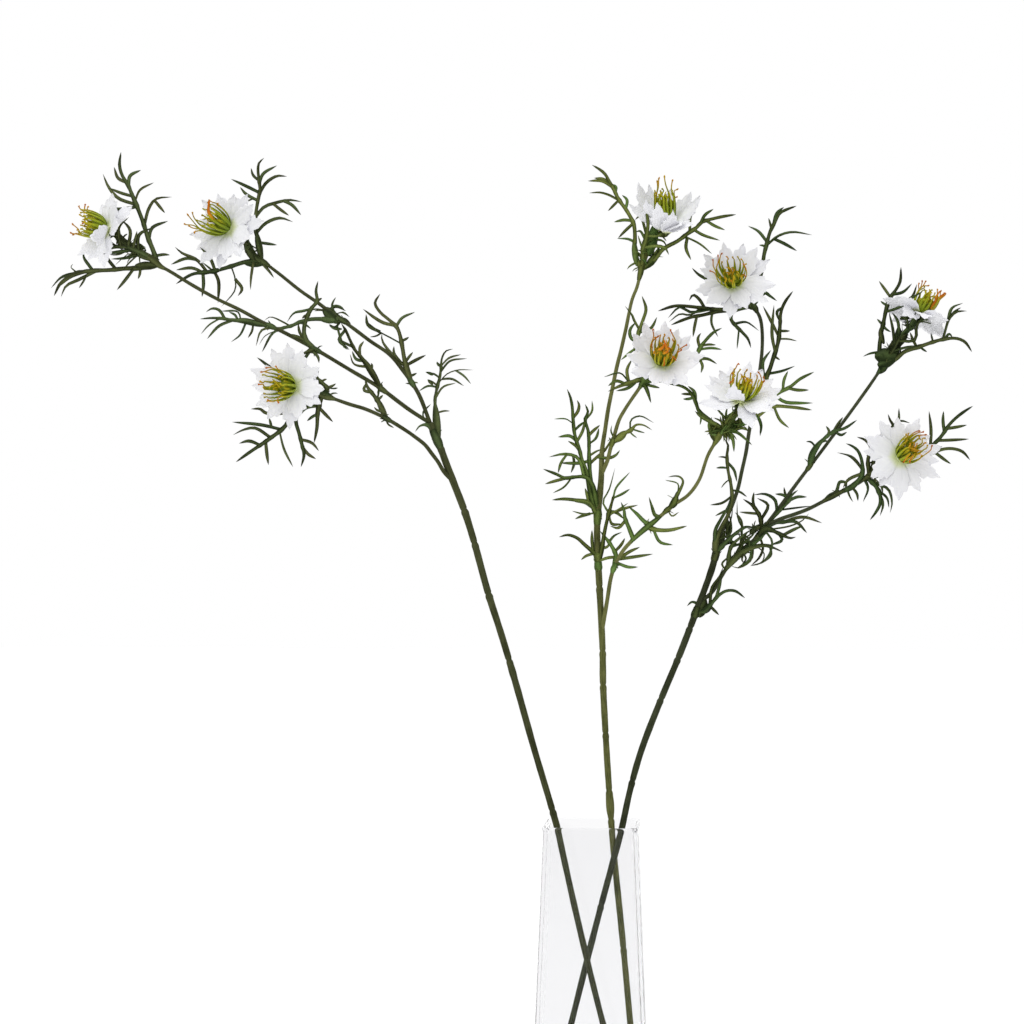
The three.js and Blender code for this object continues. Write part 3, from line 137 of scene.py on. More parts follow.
FRILLS = {
  "left_frill_1": [
    {"lean": -6, "line": [158, 263, 153, 250, 148, 238, 143, 222, 138, 209, 133, 197, 128, 185, 122, 175,
        119.5, 165, 121, 152],
      "blades": [[126, 183, 118, 178, 114, 167], [127, 187, 130, 176, 141, 170],
        [136, 201, 140, 190, 154, 182.5], [131, 197, 121, 193, 109, 188],
        [133, 206, 118, 198, 108, 186, 103, 174], [136, 207, 122, 209, 109, 208],
        [143, 226, 149, 208, 156, 199, 172, 197], [155, 201, 160, 207, 165, 213],
        [149, 240, 152, 228, 168, 221], [158, 255, 164, 254.5, 170, 255]]},
    {"lean": 4, "line": [157, 266, 140, 268, 125, 268.5, 110, 270, 97, 270.5, 85, 271.5, 76, 273, 68, 277,
        60, 284, 54, 296],
      "blades": [[77, 273, 62, 277, 51, 288], [86, 272, 70, 277, 57, 288],
        [97, 272, 78, 280, 66, 286, 61, 297], [87, 277, 83, 282, 79, 288],
        [93, 270, 88, 264, 84, 258, 83, 249], [77, 272, 71, 267, 73, 264], [116, 268, 108, 259, 106, 252],
        [134, 269, 126, 279, 117, 290], [141, 270, 139.5, 275, 138, 279]]},
    {"lean": -14, "line": [150, 256, 137, 251, 125, 246],
      "blades": [[140, 257, 125, 258, 111, 259], [133, 252, 118, 252, 103, 254],
        [130, 247, 115, 247, 105, 251], [133, 248, 136, 236, 137, 231], [129, 245, 130, 230, 122, 220],
        [121, 243, 119, 228, 129, 217], [118, 240, 115, 230, 115, 224], [139, 250, 139, 235, 151, 228]]},
  ],
  "left_frill_2": [
    {"lean": 10, "line": [262, 260, 260, 245, 256, 232, 255.5, 218, 258, 200, 260, 190, 259, 180, 258,
        170,
        259, 163, 264, 158],
      "blades": [[258, 181, 253, 175, 251, 168], [260, 183, 263, 174, 277, 165.5],
        [261, 194, 266, 183, 277, 176, 287, 176.5], [260, 193, 248, 187, 231, 179],
        [254, 200, 246, 194, 240, 187], [253, 200, 246, 201, 239, 200],
        [257, 217, 264, 207, 275, 203, 290, 200, 302, 202], [273, 204, 281, 210, 289, 215.5],
        [284, 202, 292, 205, 301, 215], [260, 232, 266, 223, 280, 218, 293, 222],
        [261, 242, 270, 244, 277, 245]]},
    {"lean": -12, "line": [258, 264, 245, 262, 232, 266, 222, 269, 212, 271.5, 203, 272.5, 193, 274,
        185, 278, 176, 284],
      "blades": [[207, 271, 197, 260, 182, 253, 175, 247], [196, 261, 186, 258.5, 171, 264.5],
        [203, 272, 192, 268, 176, 270], [215, 270, 210, 258, 200, 247], [213, 270, 207, 266, 202, 262],
        [203, 273, 203.5, 285, 202, 297], [214, 271, 218.5, 281, 218, 303],
        [231, 266, 235, 278, 235, 290, 221, 307], [235, 279, 242, 289, 238, 296],
        [254, 266, 251, 278, 250.5, 290], [260, 266, 269, 271, 274, 278]]},
  ],
  "left_frill_3": [
    {"lean": -4, "line": [325, 396, 326.5, 388, 321, 382, 317, 377, 319, 369],
      "blades": [[327, 388, 332, 386, 336, 383.5], [328, 389, 333, 388.5, 338, 388],
        [321, 382, 324, 380, 327, 379]]},
    {"lean": 0, "line": [310, 400, 290, 418, 286, 425, 280, 431, 272, 437, 262, 444, 250, 452, 236, 462],
      "blades": [[281, 429, 262, 425, 232, 422], [272, 425, 270, 421, 269, 418],
        [271, 438, 255, 428, 243, 430, 233, 435], [260, 445, 249, 441, 239, 443.5],
        [266, 442, 267, 455, 268.5, 465], [280, 432, 284, 449, 293, 467]]},
    {"lean": 6, "line": [316, 402, 297, 414, 296, 422, 299, 433, 302, 445, 304, 455, 301, 467],
      "blades": [[303, 447, 308, 454, 316, 459], [302, 439, 312, 443, 319, 451]]},
    {"lean": 10, "line": [320, 400, 318, 410, 317, 427, 315.5, 436, 314, 443],
      "blades": [[318, 407, 326, 415, 333, 422], [318, 414, 312, 417, 307, 421],
        [317, 405, 306, 408, 299, 416]]},
    {"lean": 0, "line": [314, 392, 290, 380, 267, 365, 262, 361, 257, 357.5],
      "blades": []},
    {"lean": 2, "line": [310, 397, 285, 412, 266, 413, 260, 409, 251, 409],
      "blades": []},
  ],
  "middle_frill_1": [
    {"lean": 6, "line": [638, 270, 634.5, 250, 635, 238, 634, 225, 631, 218, 625, 208, 619, 200, 614, 190,
        610, 183, 605, 174, 599, 169, 592, 165],
      "blades": [[610, 184, 603, 179, 594, 178], [612, 187, 602, 181, 588, 181],
        [618, 202, 609, 195, 600, 192.5, 589, 193], [617, 203, 612, 207, 608, 211],
        [615, 193, 616, 187, 612, 184], [626, 209, 627, 200, 622, 195], [632, 221, 624, 220, 614, 222],
        [631, 224, 625, 231, 618, 238.5], [634, 242, 628, 239, 617, 238.5], [634, 263, 630, 266, 627,
        269.5]]},
    {"lean": 0, "line": [645, 270, 655, 259, 662, 250, 668, 246, 676, 242, 682, 238, 689, 232.5, 696, 228,
        702, 222, 712, 219, 723, 216.5, 736, 214.5],
      "blades": [[690, 232, 690, 218, 693, 210, 699, 203], [700, 223, 705, 215, 713.5, 209],
        [706, 221, 715, 226, 725, 230], [694, 230, 703, 235, 720, 240.5], [685, 237, 700, 244, 712, 254],
        [688, 236, 686, 248, 691, 260]]},
    {"lean": -12, "line": [643, 265, 643, 250, 646, 238, 648, 225, 647, 212, 649, 202],
      "blades": [[646, 235, 640, 216, 635, 220], [645, 240, 640, 231, 636, 232],
        [644, 250, 640, 242, 638, 235], [644, 248, 655, 246, 665, 248, 669, 255],
        [645, 244, 652, 240, 663, 241, 667, 247], [647, 236, 657, 236, 664, 233]]},
  ],
  "middle_frill_2": [
    {"lean": 10, "line": [650, 375, 690, 362, 697, 354, 700, 348, 706, 340, 714, 332, 722, 328],
      "blades": [[699, 348, 698, 338, 701, 333], [702, 346, 709, 344.5, 716, 345],
        [700, 350, 711, 348, 722, 349.5]]},
    {"lean": 14, "line": [650, 379, 690, 366, 701, 359, 708, 359, 717, 364],
      "blades": [[700, 360, 702.5, 366, 701, 373]]},
    {"lean": 8, "line": [641, 376, 636, 350, 638, 335, 643, 320, 646, 309, 642, 296],
      "blades": [[637, 342, 631, 338, 630, 330, 636, 322], [640, 330, 634, 320, 632, 315, 625, 306],
        [637, 348, 628, 354, 621, 360], [640, 333, 651, 328, 657, 317]]},
    {"lean": -4, "line": [641, 378, 632, 382, 620, 386, 608, 391.5],
      "blades": [[629, 383, 627, 370, 632, 359], [628, 382, 620, 373, 604, 377],
        [637, 379, 628, 388, 616, 391], [626, 384, 616, 381, 608, 386]]},
    {"lean": -6, "line": [645, 382, 647, 390, 651, 403],
      "blades": [[646, 383, 652, 386, 660, 388], [647, 380, 658, 381, 670, 381]]},
  ],
  "middle_frill_3": [
    {"lean": -2, "line": [720, 436, 714, 424, 706, 417, 699, 411, 696, 403, 693, 396, 688, 390, 681, 386,
        669, 384],
      "blades": [[696, 402, 694.5, 392, 688, 386], [691, 395, 686, 394, 681, 394],
        [693, 398, 688, 399, 683, 399], [700, 412, 701, 418, 700, 425]]},
    {"lean": 8, "line": [724, 436, 755, 410, 773, 397, 780, 392, 790, 387, 800, 379, 814, 372],
      "blades": [[783, 391, 784, 380, 788, 371], [788, 388, 797, 390, 809, 390],
        [775, 396, 785, 402, 798, 403, 813, 403]]},
    {"lean": 12, "line": [727, 438, 755, 418, 771, 407, 790, 407, 812, 410],
      "blades": [[774, 407, 780, 420, 789, 428]]},
    {"lean": 14, "line": [728, 434, 760, 412, 770, 396, 768, 385, 767, 370],
      "blades": []},
    {"lean": -12, "line": [722, 434, 729, 430, 738, 433, 752, 445],
      "blades": [[729, 430, 733, 440, 734, 452], [733, 431, 742, 428, 749, 431],
        [734, 432, 740, 422, 737, 414], [727, 431, 722, 424, 720, 416]]},
    {"lean": -4, "line": [724, 434, 748, 422, 757, 417, 761, 425, 760, 436],
      "blades": []},
    {"lean": -8, "line": [717, 438, 711, 431, 709, 424, 712, 417],
      "blades": []},
    {"lean": -14, "line": [723, 430, 717, 425, 707, 420, 700, 416, 695, 411],
      "blades": [[722, 429, 724, 436, 724, 442], [723, 430, 726, 436, 727, 441],
        [724, 430, 730, 437, 734, 442], [725, 430, 732, 434, 737, 440]]},
  ],
  "right_frill_1": [
    {"lean": 2, "line": [750, 306, 735, 309, 719, 309.5, 705, 308.5, 690, 306.5, 675, 306, 658, 311],
      "blades": [[705, 308, 699, 299, 693, 295, 689, 301], [712, 309, 690, 312, 680, 307, 668, 318],
        [701, 309, 690, 315, 680, 314, 669, 322]]},
    {"lean": 8, "line": [748, 309, 730, 310, 715, 312, 703, 315, 692, 317, 683, 320, 671, 325],
      "blades": [[697, 317, 694.5, 327, 693, 337], [712, 312, 711.5, 323, 718, 337]]},
    {"lean": -4, "line": [749, 309, 733, 312, 731, 319, 736, 326, 742, 332, 748, 339, 751, 348],
      "blades": [[735, 323, 746, 322, 753, 326, 759, 331], [739, 329, 738, 339, 737, 349]]},
    {"lean": 14, "line": [755, 300, 762, 270, 764, 255, 767, 243, 770, 232, 775, 222, 780, 213, 788, 209,
        796.5, 206],
      "blades": [[767, 242, 758, 231, 748, 226], [771, 229, 770, 223, 768.5, 218],
        [773, 225, 777, 213, 784, 207], [768, 246, 778, 236, 792, 232, 812, 235],
        [775, 240, 785, 244, 797, 251], [766, 249, 764, 246, 759, 245]]},
    {"lean": -2, "line": [748, 303, 725, 290, 706, 279, 698, 274, 692, 268],
      "blades": []},
    {"lean": 6, "line": [756, 302, 765, 293, 770, 296, 777, 301],
      "blades": []},
  ],
  "right_frill_2": [
    {"lean": 4, "line": [880, 366, 879.5, 350, 881, 335, 884, 320, 886.5, 308, 890, 298, 895, 291, 900,
        282,
        901, 267],
      "blades": [[890, 297, 884, 288, 879, 281], [893, 295, 903, 292, 912, 283.5],
        [888, 304, 902, 302, 912, 297, 917, 284], [886, 312, 900, 307, 912, 298, 923, 291],
        [885, 305, 883, 303, 880.5, 301], [878, 352, 870, 353.5, 863, 356.5],
        [882, 325, 879, 321, 877, 319], [882, 325, 886, 329, 891, 332]]},
    {"lean": -10, "line": [884, 367, 896, 359, 904, 352, 912, 349, 920, 346.5, 930, 343, 940, 340,
        948, 338.5, 957, 338.5, 965, 342, 972, 352],
      "blades": [[933, 342, 932, 338, 931, 333], [920, 348, 924, 350, 927, 352],
        [917, 347, 913, 340, 910, 332], [943, 339, 946, 328, 949, 319, 956, 312, 967, 311],
        [947, 322, 952, 308, 963, 303], [948, 320, 954, 312, 961, 307.5], [945, 338, 949, 334, 953,
        338]]},
    {"lean": -16, "line": [887, 360, 895, 346, 901, 333],
      "blades": [[891, 345, 893, 330, 889, 312], [897, 338, 898, 322, 892, 312],
        [900, 336, 910, 325, 916, 312], [907, 328, 907, 320, 900, 316],
        [905, 344, 915, 340, 917, 325, 929, 312], [897, 354.5, 908, 347, 920, 346]]},
  ],
  "right_frill_3": [
    {"lean": 8, "line": [872, 474, 925, 450, 936, 442, 943, 434, 949, 425, 957, 417, 965, 411, 973, 406],
      "blades": [[944, 432, 943, 420, 943.5, 411], [947, 429, 957, 427, 967, 425],
        [938, 441, 952, 440, 969, 439], [930, 446, 931, 430, 929, 411]]},
    {"lean": 12, "line": [873, 476, 925, 456, 944, 449, 955, 449, 963, 452, 970, 460],
      "blades": [[935, 453, 945, 460, 951, 464]]},
    {"lean": 4, "line": [870, 474, 880, 440, 893, 426, 890, 420, 888, 414],
      "blades": [[888, 432, 898, 422, 899, 408], [886, 434, 900, 421, 910, 423]]},
    {"lean": -2, "line": [868, 474, 868, 460, 870.5, 447, 865, 440, 857, 437],
      "blades": [[869, 464, 874, 460, 866, 455]]},
    {"lean": -8, "line": [867, 478, 875, 485, 880, 495, 880, 504, 876, 512, 870, 520],
      "blades": [[880, 492, 883, 505, 880, 516], [880, 490, 887, 498, 889, 508],
        [876, 480, 888, 489, 892, 503, 890, 513], [874, 480, 880, 483, 883, 493]]},
  ],
}
LEAVES = {
  "left_leaf_1": {"on": "left_branch_1", "twigs": [
    {"lean": -9, "line": [270, 328, 258, 324, 245, 321, 232, 320, 222, 318.5, 212, 318, 200, 319],
      "blades": [[225, 319, 219, 310, 212, 308.5, 206, 312], [220, 319, 209, 325, 201, 334],
        [233, 321, 219, 326, 207, 339], [246, 324, 240, 335, 231, 342], [241, 319, 238, 312, 221, 311],
        [253, 324, 252, 331, 248, 338], [238, 320, 235, 315, 229, 312]]},
  ]},
  "left_leaf_2": {"on": "left_branch_1", "twigs": [
    {"lean": -11, "line": [315, 351, 306, 341, 304, 330, 306, 320, 311, 309, 317, 301, 316, 291, 318,
        281],
      "blades": [[311, 309, 303, 311, 294, 313, 287, 322], [308, 315, 305, 316, 302, 318.5],
        [306, 341, 300, 333, 298, 323], [305, 341, 298, 337, 289, 334], [317, 302, 319, 300, 322, 298]]},
    {"lean": -6, "line": [313, 352, 307, 352, 298, 356],
      "blades": [[311, 352, 305, 359, 306, 368], [312, 352, 318, 357, 319, 363]]},
  ]},
  "left_leaf_3": {"on": "left_branch_1", "twigs": [
    {"lean": -12, "line": [382, 389, 374, 376, 367, 365, 360, 356, 355, 350, 350, 340, 346, 331, 341,
        323],
      "blades": [[360, 356, 360, 347, 364, 341], [353, 347, 345, 343, 341, 340],
        [345, 330, 339, 340, 349, 349], [364, 370, 354, 364, 350, 354], [363, 362, 356, 359, 352, 351],
        [371, 371, 372, 365, 371, 363]]},
  ]},
  "left_leaf_4": {"on": "left_branch_2", "twigs": [
    {"lean": -8, "line": [339, 320, 330, 320, 320, 319, 309, 319.5, 300, 322, 291, 326, 283, 328, 273,
        333,
        262, 352],
      "blades": [[290, 325, 283, 322, 270, 317, 264, 321], [283, 328, 262, 330, 256, 346],
        [279, 330, 265, 336, 259, 345], [299, 323, 306, 325, 311, 329]]},
    {"lean": 4, "line": [341, 321, 334, 315, 329, 310, 325, 307],
      "blades": [[329, 308, 337, 307, 346, 311], [336, 312, 343, 312.5, 349.5, 317],
        [335, 313, 332, 306, 333, 302, 336, 297], [326, 315, 320, 310, 314, 311], [343, 328, 335, 327,
        329, 324],
        [331, 311, 334, 306, 341, 307, 345, 311], [324, 311, 316, 309, 310, 311, 304, 320],
        [341, 331, 340.5, 338, 345, 348, 349.5, 349.5], [338, 318, 345, 319, 351, 324]]},
  ]},
  "left_leaf_5": {"on": "left_branch_2", "twigs": [
    {"lean": 10, "line": [411, 383, 407, 370, 404, 357, 402, 345, 399, 332, 396, 326, 388, 319, 380, 312,
        375, 303, 380, 294],
      "blades": [[402, 344, 391, 338, 380, 332, 366, 321], [380, 332, 368, 325, 366, 314],
        [382, 332, 376, 336, 370, 337], [395, 326, 384, 323, 375, 318, 363, 309],
        [404, 368, 390, 352, 382, 340, 382, 333], [402, 362, 394, 353, 394, 346],
        [397, 326, 402, 318, 415, 312], [402, 341, 406, 339, 409, 337], [407, 362, 409, 357, 413, 352],
        [408, 365, 416, 360, 426, 355], [410, 376, 413, 375, 417, 373]]},
  ]},
  "left_leaf_6": {"on": "left_branch_3", "twigs": [
    {"lean": 5, "line": [386, 419, 382, 409, 378, 401, 372, 393, 367, 386, 365, 376],
      "blades": [[377, 400, 379, 391, 380, 383], [377, 400, 380, 398, 383, 395],
        [371, 393, 364, 390, 367, 382], [382, 413, 377, 410, 374, 407], [385, 419, 388, 424, 394, 428]]},
  ]},
  "left_leaf_7": {"on": "left_stem", "twigs": [
    {"lean": 9, "line": [438, 442, 437, 428, 436, 414, 435, 400, 437, 388, 440, 376, 441, 367, 442, 358,
        446, 351, 453, 349],
      "blades": [[442, 366, 449, 358, 461, 354.5], [442, 372, 450, 361, 467, 358.5],
        [439, 384, 447, 374, 458, 370, 473, 370], [456, 371, 464, 376, 471, 384],
        [442, 379, 452, 379, 464, 386], [436, 399, 443, 387, 456, 383], [440, 378, 434, 374, 427, 373],
        [438, 386, 434, 383, 430, 380], [437, 387, 428, 386, 419, 391], [438, 413, 444, 411, 450, 411],
        [441, 366, 439, 364, 437, 362]]},
    {"lean": -6, "line": [433, 434, 427, 425, 420, 426, 415, 432],
      "blades": [[427, 425, 423, 413, 431, 404]]},
  ]},
  "middle_leaf_1": {"on": "middle_stem", "twigs": [
    {"lean": -12, "line": [596, 520, 592, 500, 588, 482, 586, 470, 582, 460, 579, 448, 576, 440, 574, 430,
        573, 418, 572, 405, 570, 396, 567, 389],
      "blades": [[573, 418, 578, 411, 579, 405, 577, 400], [573, 424, 566, 419, 554, 419],
        [576, 441, 570, 436, 558, 437], [577, 442, 583, 430, 585, 419], [574, 431, 579, 426, 586, 421],
        [586, 450, 576, 446, 568, 441]]},
    {"lean": -4, "line": [596, 516, 593, 495, 590, 472, 589, 455, 589, 443, 588, 430, 585, 420, 588, 412,
        585, 404],
      "blades": [[587, 420, 592, 411, 592, 400.5], [586, 436, 592, 432, 600, 425],
        [590, 444, 596, 438, 599, 428], [589, 461, 580, 463, 560, 463],
        [590, 464, 597, 457, 605, 450, 613, 436], [598, 458, 609, 458, 616, 455, 620, 450],
        [590, 456, 597, 451, 603, 449]]},
    {"lean": -16, "line": [595, 512, 591, 482, 585, 477, 575, 477, 565, 478, 556, 474, 543, 469],
      "blades": [[567, 478, 555, 481, 545, 484], [572, 478, 564, 487, 553, 493],
        [584, 476, 578, 458, 565, 454, 549, 457], [567, 455, 561, 463, 558, 473],
        [573, 456, 574, 464, 571, 473]]},
    {"lean": -8, "line": [596, 518, 590, 503, 575, 500, 563, 499, 552, 500],
      "blades": [[592, 510, 585, 503, 575, 502], [593, 514, 584, 514, 572, 511],
        [590, 512, 582, 516, 575, 519], [588, 503, 587, 495, 585, 488]]},
  ]},
  "middle_leaf_2": {"on": "middle_stem", "twigs": [
    {"lean": -12, "line": [600, 565, 602, 548, 604, 535, 606, 525, 609, 513, 612, 502, 614, 495],
      "blades": [[613, 497, 616, 488, 630, 472], [613, 498, 622, 494, 630, 489],
        [609, 513, 603, 502, 609, 490, 615, 468], [612, 516, 618, 510, 628, 503],
        [615, 513, 626, 508, 638, 505], [608, 510, 617, 513, 624, 519], [609, 515, 612, 524, 622, 524],
        [602, 549, 608, 546, 609, 542]]},
  ]},
  "middle_leaf_3": {"on": "middle_stem", "twigs": [
    {"lean": -7, "line": [597, 556, 585, 545, 577, 538, 568, 535, 559, 537],
      "blades": [[594, 554, 586, 556, 581, 560], [593, 552, 592, 540, 592, 530]]},
  ]},
  "middle_leaf_4": {"on": "middle_branch_2", "twigs": [
    {"lean": 9, "line": [616, 568, 616, 556, 611, 545, 605, 537, 600, 531],
      "blades": [[619, 560, 640, 556, 653, 554], [619, 562, 629, 552, 640, 547],
        [619, 563, 628, 567, 638, 567], [616, 557, 607, 558, 597, 562], [609, 542, 614, 536, 622, 532],
        [614, 552, 621, 545, 625, 538]]},
  ]},
  "middle_leaf_5": {"on": "middle_branch_2", "twigs": [
    {"lean": -9, "line": [634, 540, 629, 528, 625, 518, 624, 510, 621, 502],
      "blades": [[626, 520, 618, 528, 610, 526]]},
    {"lean": 8, "line": [652, 526, 645, 522, 637, 514, 628, 506],
      "blades": []},
    {"lean": -6, "line": [660, 518, 655, 515, 652, 507, 649, 497],
      "blades": []},
    {"lean": -8, "line": [648, 529, 658, 530, 670, 530, 687, 526],
      "blades": [[653, 530, 660, 542, 673, 545]]},
  ]},
  "middle_leaf_6": {"on": "middle_branch_2", "twigs": [
    {"lean": -8, "line": [668, 510, 674, 503, 677, 495, 681, 488, 683, 481, 680, 477, 675, 476, 668, 477],
      "blades": [[678, 494, 678, 484, 665, 480], [675, 500, 671, 497, 667, 495],
        [668, 512, 672, 516, 679, 512]]},
  ]},
  "middle_leaf_7": {"on": "middle_branch_1", "twigs": [
    {"lean": -8, "line": [612, 442, 619, 438, 625, 433, 631, 430, 636, 425, 643, 425, 652, 430],
      "blades": [[630, 430, 631, 420, 640, 416, 654, 423], [632, 429, 638, 431, 645, 433],
        [629, 431, 633, 435, 637, 438], [614, 438, 611, 431, 612, 425]]},
  ]},
  "right_leaf_1": {"on": "right_stem", "twigs": [
    {"lean": -14, "line": [715, 556, 716, 540, 721, 528, 728, 515, 732, 500, 731, 485, 728, 470, 727, 455,
        728, 445, 724, 438],
      "blades": [[727, 458, 723, 457, 718, 457], [728, 468, 722, 467.5, 716, 468],
        [730, 479, 725, 483, 721, 488], [731, 496, 722, 503, 710, 505], [729, 508, 723, 512, 715, 516],
        [732, 490, 740, 492, 747, 497], [728, 462, 734, 470, 737, 482]]},
    {"lean": -20, "line": [717, 553, 728, 540, 740, 530, 746, 527, 757, 528],
      "blades": [[722, 548, 729, 543, 737, 545], [743, 529, 741, 520, 735, 512],
        [720, 544, 727, 540, 733, 542, 739, 546], [730, 545, 732, 537, 737, 534, 741, 535]]},
    {"lean": -17, "line": [713, 545, 715, 532, 721, 519, 728, 507, 731, 497],
      "blades": [[716, 540, 722, 528, 727, 516, 727, 508], [718, 543, 726, 531, 731, 519, 733, 506],
        [721, 540, 730, 534, 731, 524, 729, 513]]},
  ]},
  "right_leaf_2": {"on": "right_stem", "twigs": [
    {"lean": -9, "line": [698, 614, 704, 611, 711, 604, 718, 596, 726, 591, 735, 591, 745, 598],
      "blades": [[710, 606, 714, 610, 719, 615], [716, 598, 719, 588, 722, 577],
        [706, 602, 712, 588, 720, 576, 723, 567]]},
    {"lean": 6, "line": [699, 612, 697, 604, 692, 602, 687, 606],
      "blades": []},
  ]},
  "right_leaf_3": {"on": "right_branch_2", "twigs": [
    {"lean": -12, "line": [727, 568, 738, 556, 750, 549, 762, 546, 771, 547, 783, 552],
      "blades": [[757, 546, 764, 553, 762, 562, 750, 566], [770, 547, 771, 555, 761, 564],
        [752, 549, 749, 560, 737, 568], [744, 552, 742, 560, 744, 563], [750, 549, 748, 538, 742, 534]]},
    {"lean": -4, "line": [733, 557, 742, 544.5, 754, 533, 753, 526.5],
      "blades": [[742, 550, 742, 527, 738, 519, 737, 500], [736, 552, 742, 541, 752, 533, 758, 527],
        [735, 555, 741, 550, 743, 540, 740, 530]]},
    {"lean": -7, "line": [720, 560, 731, 547, 741, 537, 752, 529],
      "blades": [[731, 547, 743, 543, 752, 541, 757, 532], [719, 556, 722, 564, 727, 571]]},
    {"lean": -15, "line": [743, 552, 752, 545, 762, 537, 768, 530],
      "blades": [[761, 539, 763, 548, 759, 558, 751, 565.5], [766, 532, 772, 541, 770, 553, 761, 564],
        [756, 548, 751, 560, 738, 568, 730, 565], [748, 548, 758, 545, 774, 545],
        [742, 552, 746, 559, 742, 564]]},
  ]},
  "right_leaf_4": {"on": "right_branch_2", "twigs": [
    {"lean": -12, "line": [758, 538, 766, 529, 780, 534, 790, 538, 796, 537],
      "blades": [[770, 529, 790, 526, 803, 520, 809, 513], [783, 535, 795, 529, 803, 526],
        [778, 535, 782, 540, 771, 545]]},
    {"lean": 14, "line": [760, 536, 770, 524, 783, 522, 796, 522, 807, 533],
      "blades": [[783, 522, 803, 517, 822, 523]]},
    {"lean": -5, "line": [764, 532, 760, 517, 753, 506, 743, 499],
      "blades": [[758, 514, 749, 513, 739, 512], [755, 508, 753, 501, 754, 492],
        [762, 520, 768, 505, 757, 498]]},
    {"lean": 7, "line": [766, 531, 778, 512, 787, 503, 792, 495, 798, 490],
      "blades": [[788, 501, 797, 497, 807, 497], [789, 499, 783, 495, 775, 494],
        [787, 500, 785, 493, 784, 487], [777, 513, 775, 500, 765, 494, 753, 495],
        [781, 511, 795, 508, 811, 506]]},
  ]},
  "right_leaf_5": {"on": "right_branch_2", "twigs": [
    {"lean": -8, "line": [809, 466, 812, 455, 818, 445, 825, 438, 833, 432, 845, 428, 857, 420],
      "blades": [[815, 447, 811, 442, 806, 441.5], [828, 437, 829, 431, 826, 426],
        [833, 432, 838, 424, 843, 417], [835, 432, 841, 435, 847, 432], [820, 443, 824, 441, 828, 441]]},
  ]},
  "right_leaf_6": {"on": "right_branch_3", "twigs": [
    {"lean": -7, "line": [843, 492, 853, 486, 862, 474, 862, 462, 858, 451, 852, 446, 846, 443.5],
      "blades": [[862, 470, 856, 461, 850, 456, 837, 452.5], [861, 473, 848, 480, 843, 488],
        [847, 489, 850, 497, 853, 502], [852, 487, 857, 494, 858, 501], [862, 475, 868, 488, 863, 502]]},
    {"lean": 5, "line": [826, 500, 836, 492, 840, 482, 846, 483, 845, 490],
      "blades": []},
  ]},
  "right_leaf_7": {"on": "right_branch_1", "twigs": [
    {"lean": -9, "line": [757, 392, 762, 384, 769, 371, 773, 359, 777, 347, 779, 337, 780, 325, 781, 312,
        785, 302, 793, 291],
      "blades": [[779, 339, 788, 339, 797, 341], [780, 331, 785, 331, 790, 331],
        [779, 337, 773, 325, 763, 306], [775, 352, 772, 335, 774, 305], [768, 374, 782, 371, 795, 366],
        [774, 356, 777, 358, 780, 360], [780, 322, 777, 312, 784, 306], [764, 380, 763, 362, 771, 350]]},
  ]},
}
# Petal tips and filament tips of each flower, as across, down, across, down ...
PETAL_TIPS = {
    "left_flower_1": [101, 205, 117, 203, 131, 205, 79, 256, 87, 258, 104, 268],
    "left_flower_2": [202, 201, 215, 193, 235, 195, 255, 203, 264, 221, 240, 255, 226, 261, 220, 269,
        200, 263, 190, 235],
    "left_flower_3": [249, 369, 252, 385, 256, 405, 267, 419, 288, 429, 299, 418, 320, 402, 324, 388,
        319, 366, 302, 350, 286, 343, 270, 349],
    "middle_flower_1": [638, 182, 648, 184, 628, 204, 691, 192, 700, 197, 691, 226, 682, 243],
    "middle_flower_2": [643, 321, 666, 321, 690, 335, 704, 354, 696, 363, 687, 385, 668, 383, 654, 385,
        631, 372, 627, 355, 632, 334],
    "middle_flower_3": [699, 405, 705, 385, 719, 371, 730, 365, 748, 362, 762, 368, 776, 402, 774, 412,
        751, 429],
    "right_flower_1": [723, 243, 744, 243, 758, 245, 774, 257, 775, 285, 768, 303, 730, 318, 706, 305,
        696, 290, 700, 268, 704, 254],
    "right_flower_2": [882, 298, 897, 296, 903, 314, 930, 333, 943, 338, 948, 320],
    "right_flower_3": [881, 421, 899, 416, 922, 416, 943, 447, 940, 460, 940, 478, 921, 492, 900, 501,
        882, 485, 869, 477, 864, 452, 865, 437],
}
FILAMENT_TIPS = {
    "left_flower_1": [79.5, 205.5, 85, 205, 88.5, 206, 72, 223, 70, 232, 72, 235, 83, 222.5],
    "left_flower_2": [209.5, 200, 218.5, 203, 187, 213.5, 192.5, 212, 185, 223.5, 188, 226, 195, 233.5],
    "left_flower_3": [265, 368, 275, 366.5, 260, 372, 258.5, 384, 267.5, 399, 279.5, 403],
    "middle_flower_1": [659.5, 177, 664.5, 175, 673, 179.5, 678.5, 188.5, 677.5, 196, 656, 192, 657, 180],
    "middle_flower_2": [654, 329, 671, 329.5, 687, 345.5, 682, 350, 651, 344.5, 663, 366, 675, 360,
        659, 335.5],
    "middle_flower_3": [732, 373.5, 739.5, 364.5, 729, 383, 757.5, 371.5, 763.5, 376, 765, 380.5],
    "right_flower_1": [718, 254.5, 722.5, 253, 712, 259.5, 709.5, 271, 743, 264, 746, 276],
    "right_flower_2": [922, 280, 926.5, 281, 929.5, 285, 919, 284, 938, 289, 946, 293, 945.5, 295,
        941.5, 290],
    "right_flower_3": [924, 431, 927, 434.5, 920.5, 431, 932.5, 445, 910, 463, 904, 461.5],
}
# The tips of petals that reach out to the front, before the stamens, and how far below the
# others they spring, in mm.
FRONT_TIPS = {
    "left_flower_1": [89, 236], "middle_flower_1": [658, 206, 673, 212], "middle_flower_3": [733, 385],
}
FRONT_DROPS = {"middle_flower_1": 5}
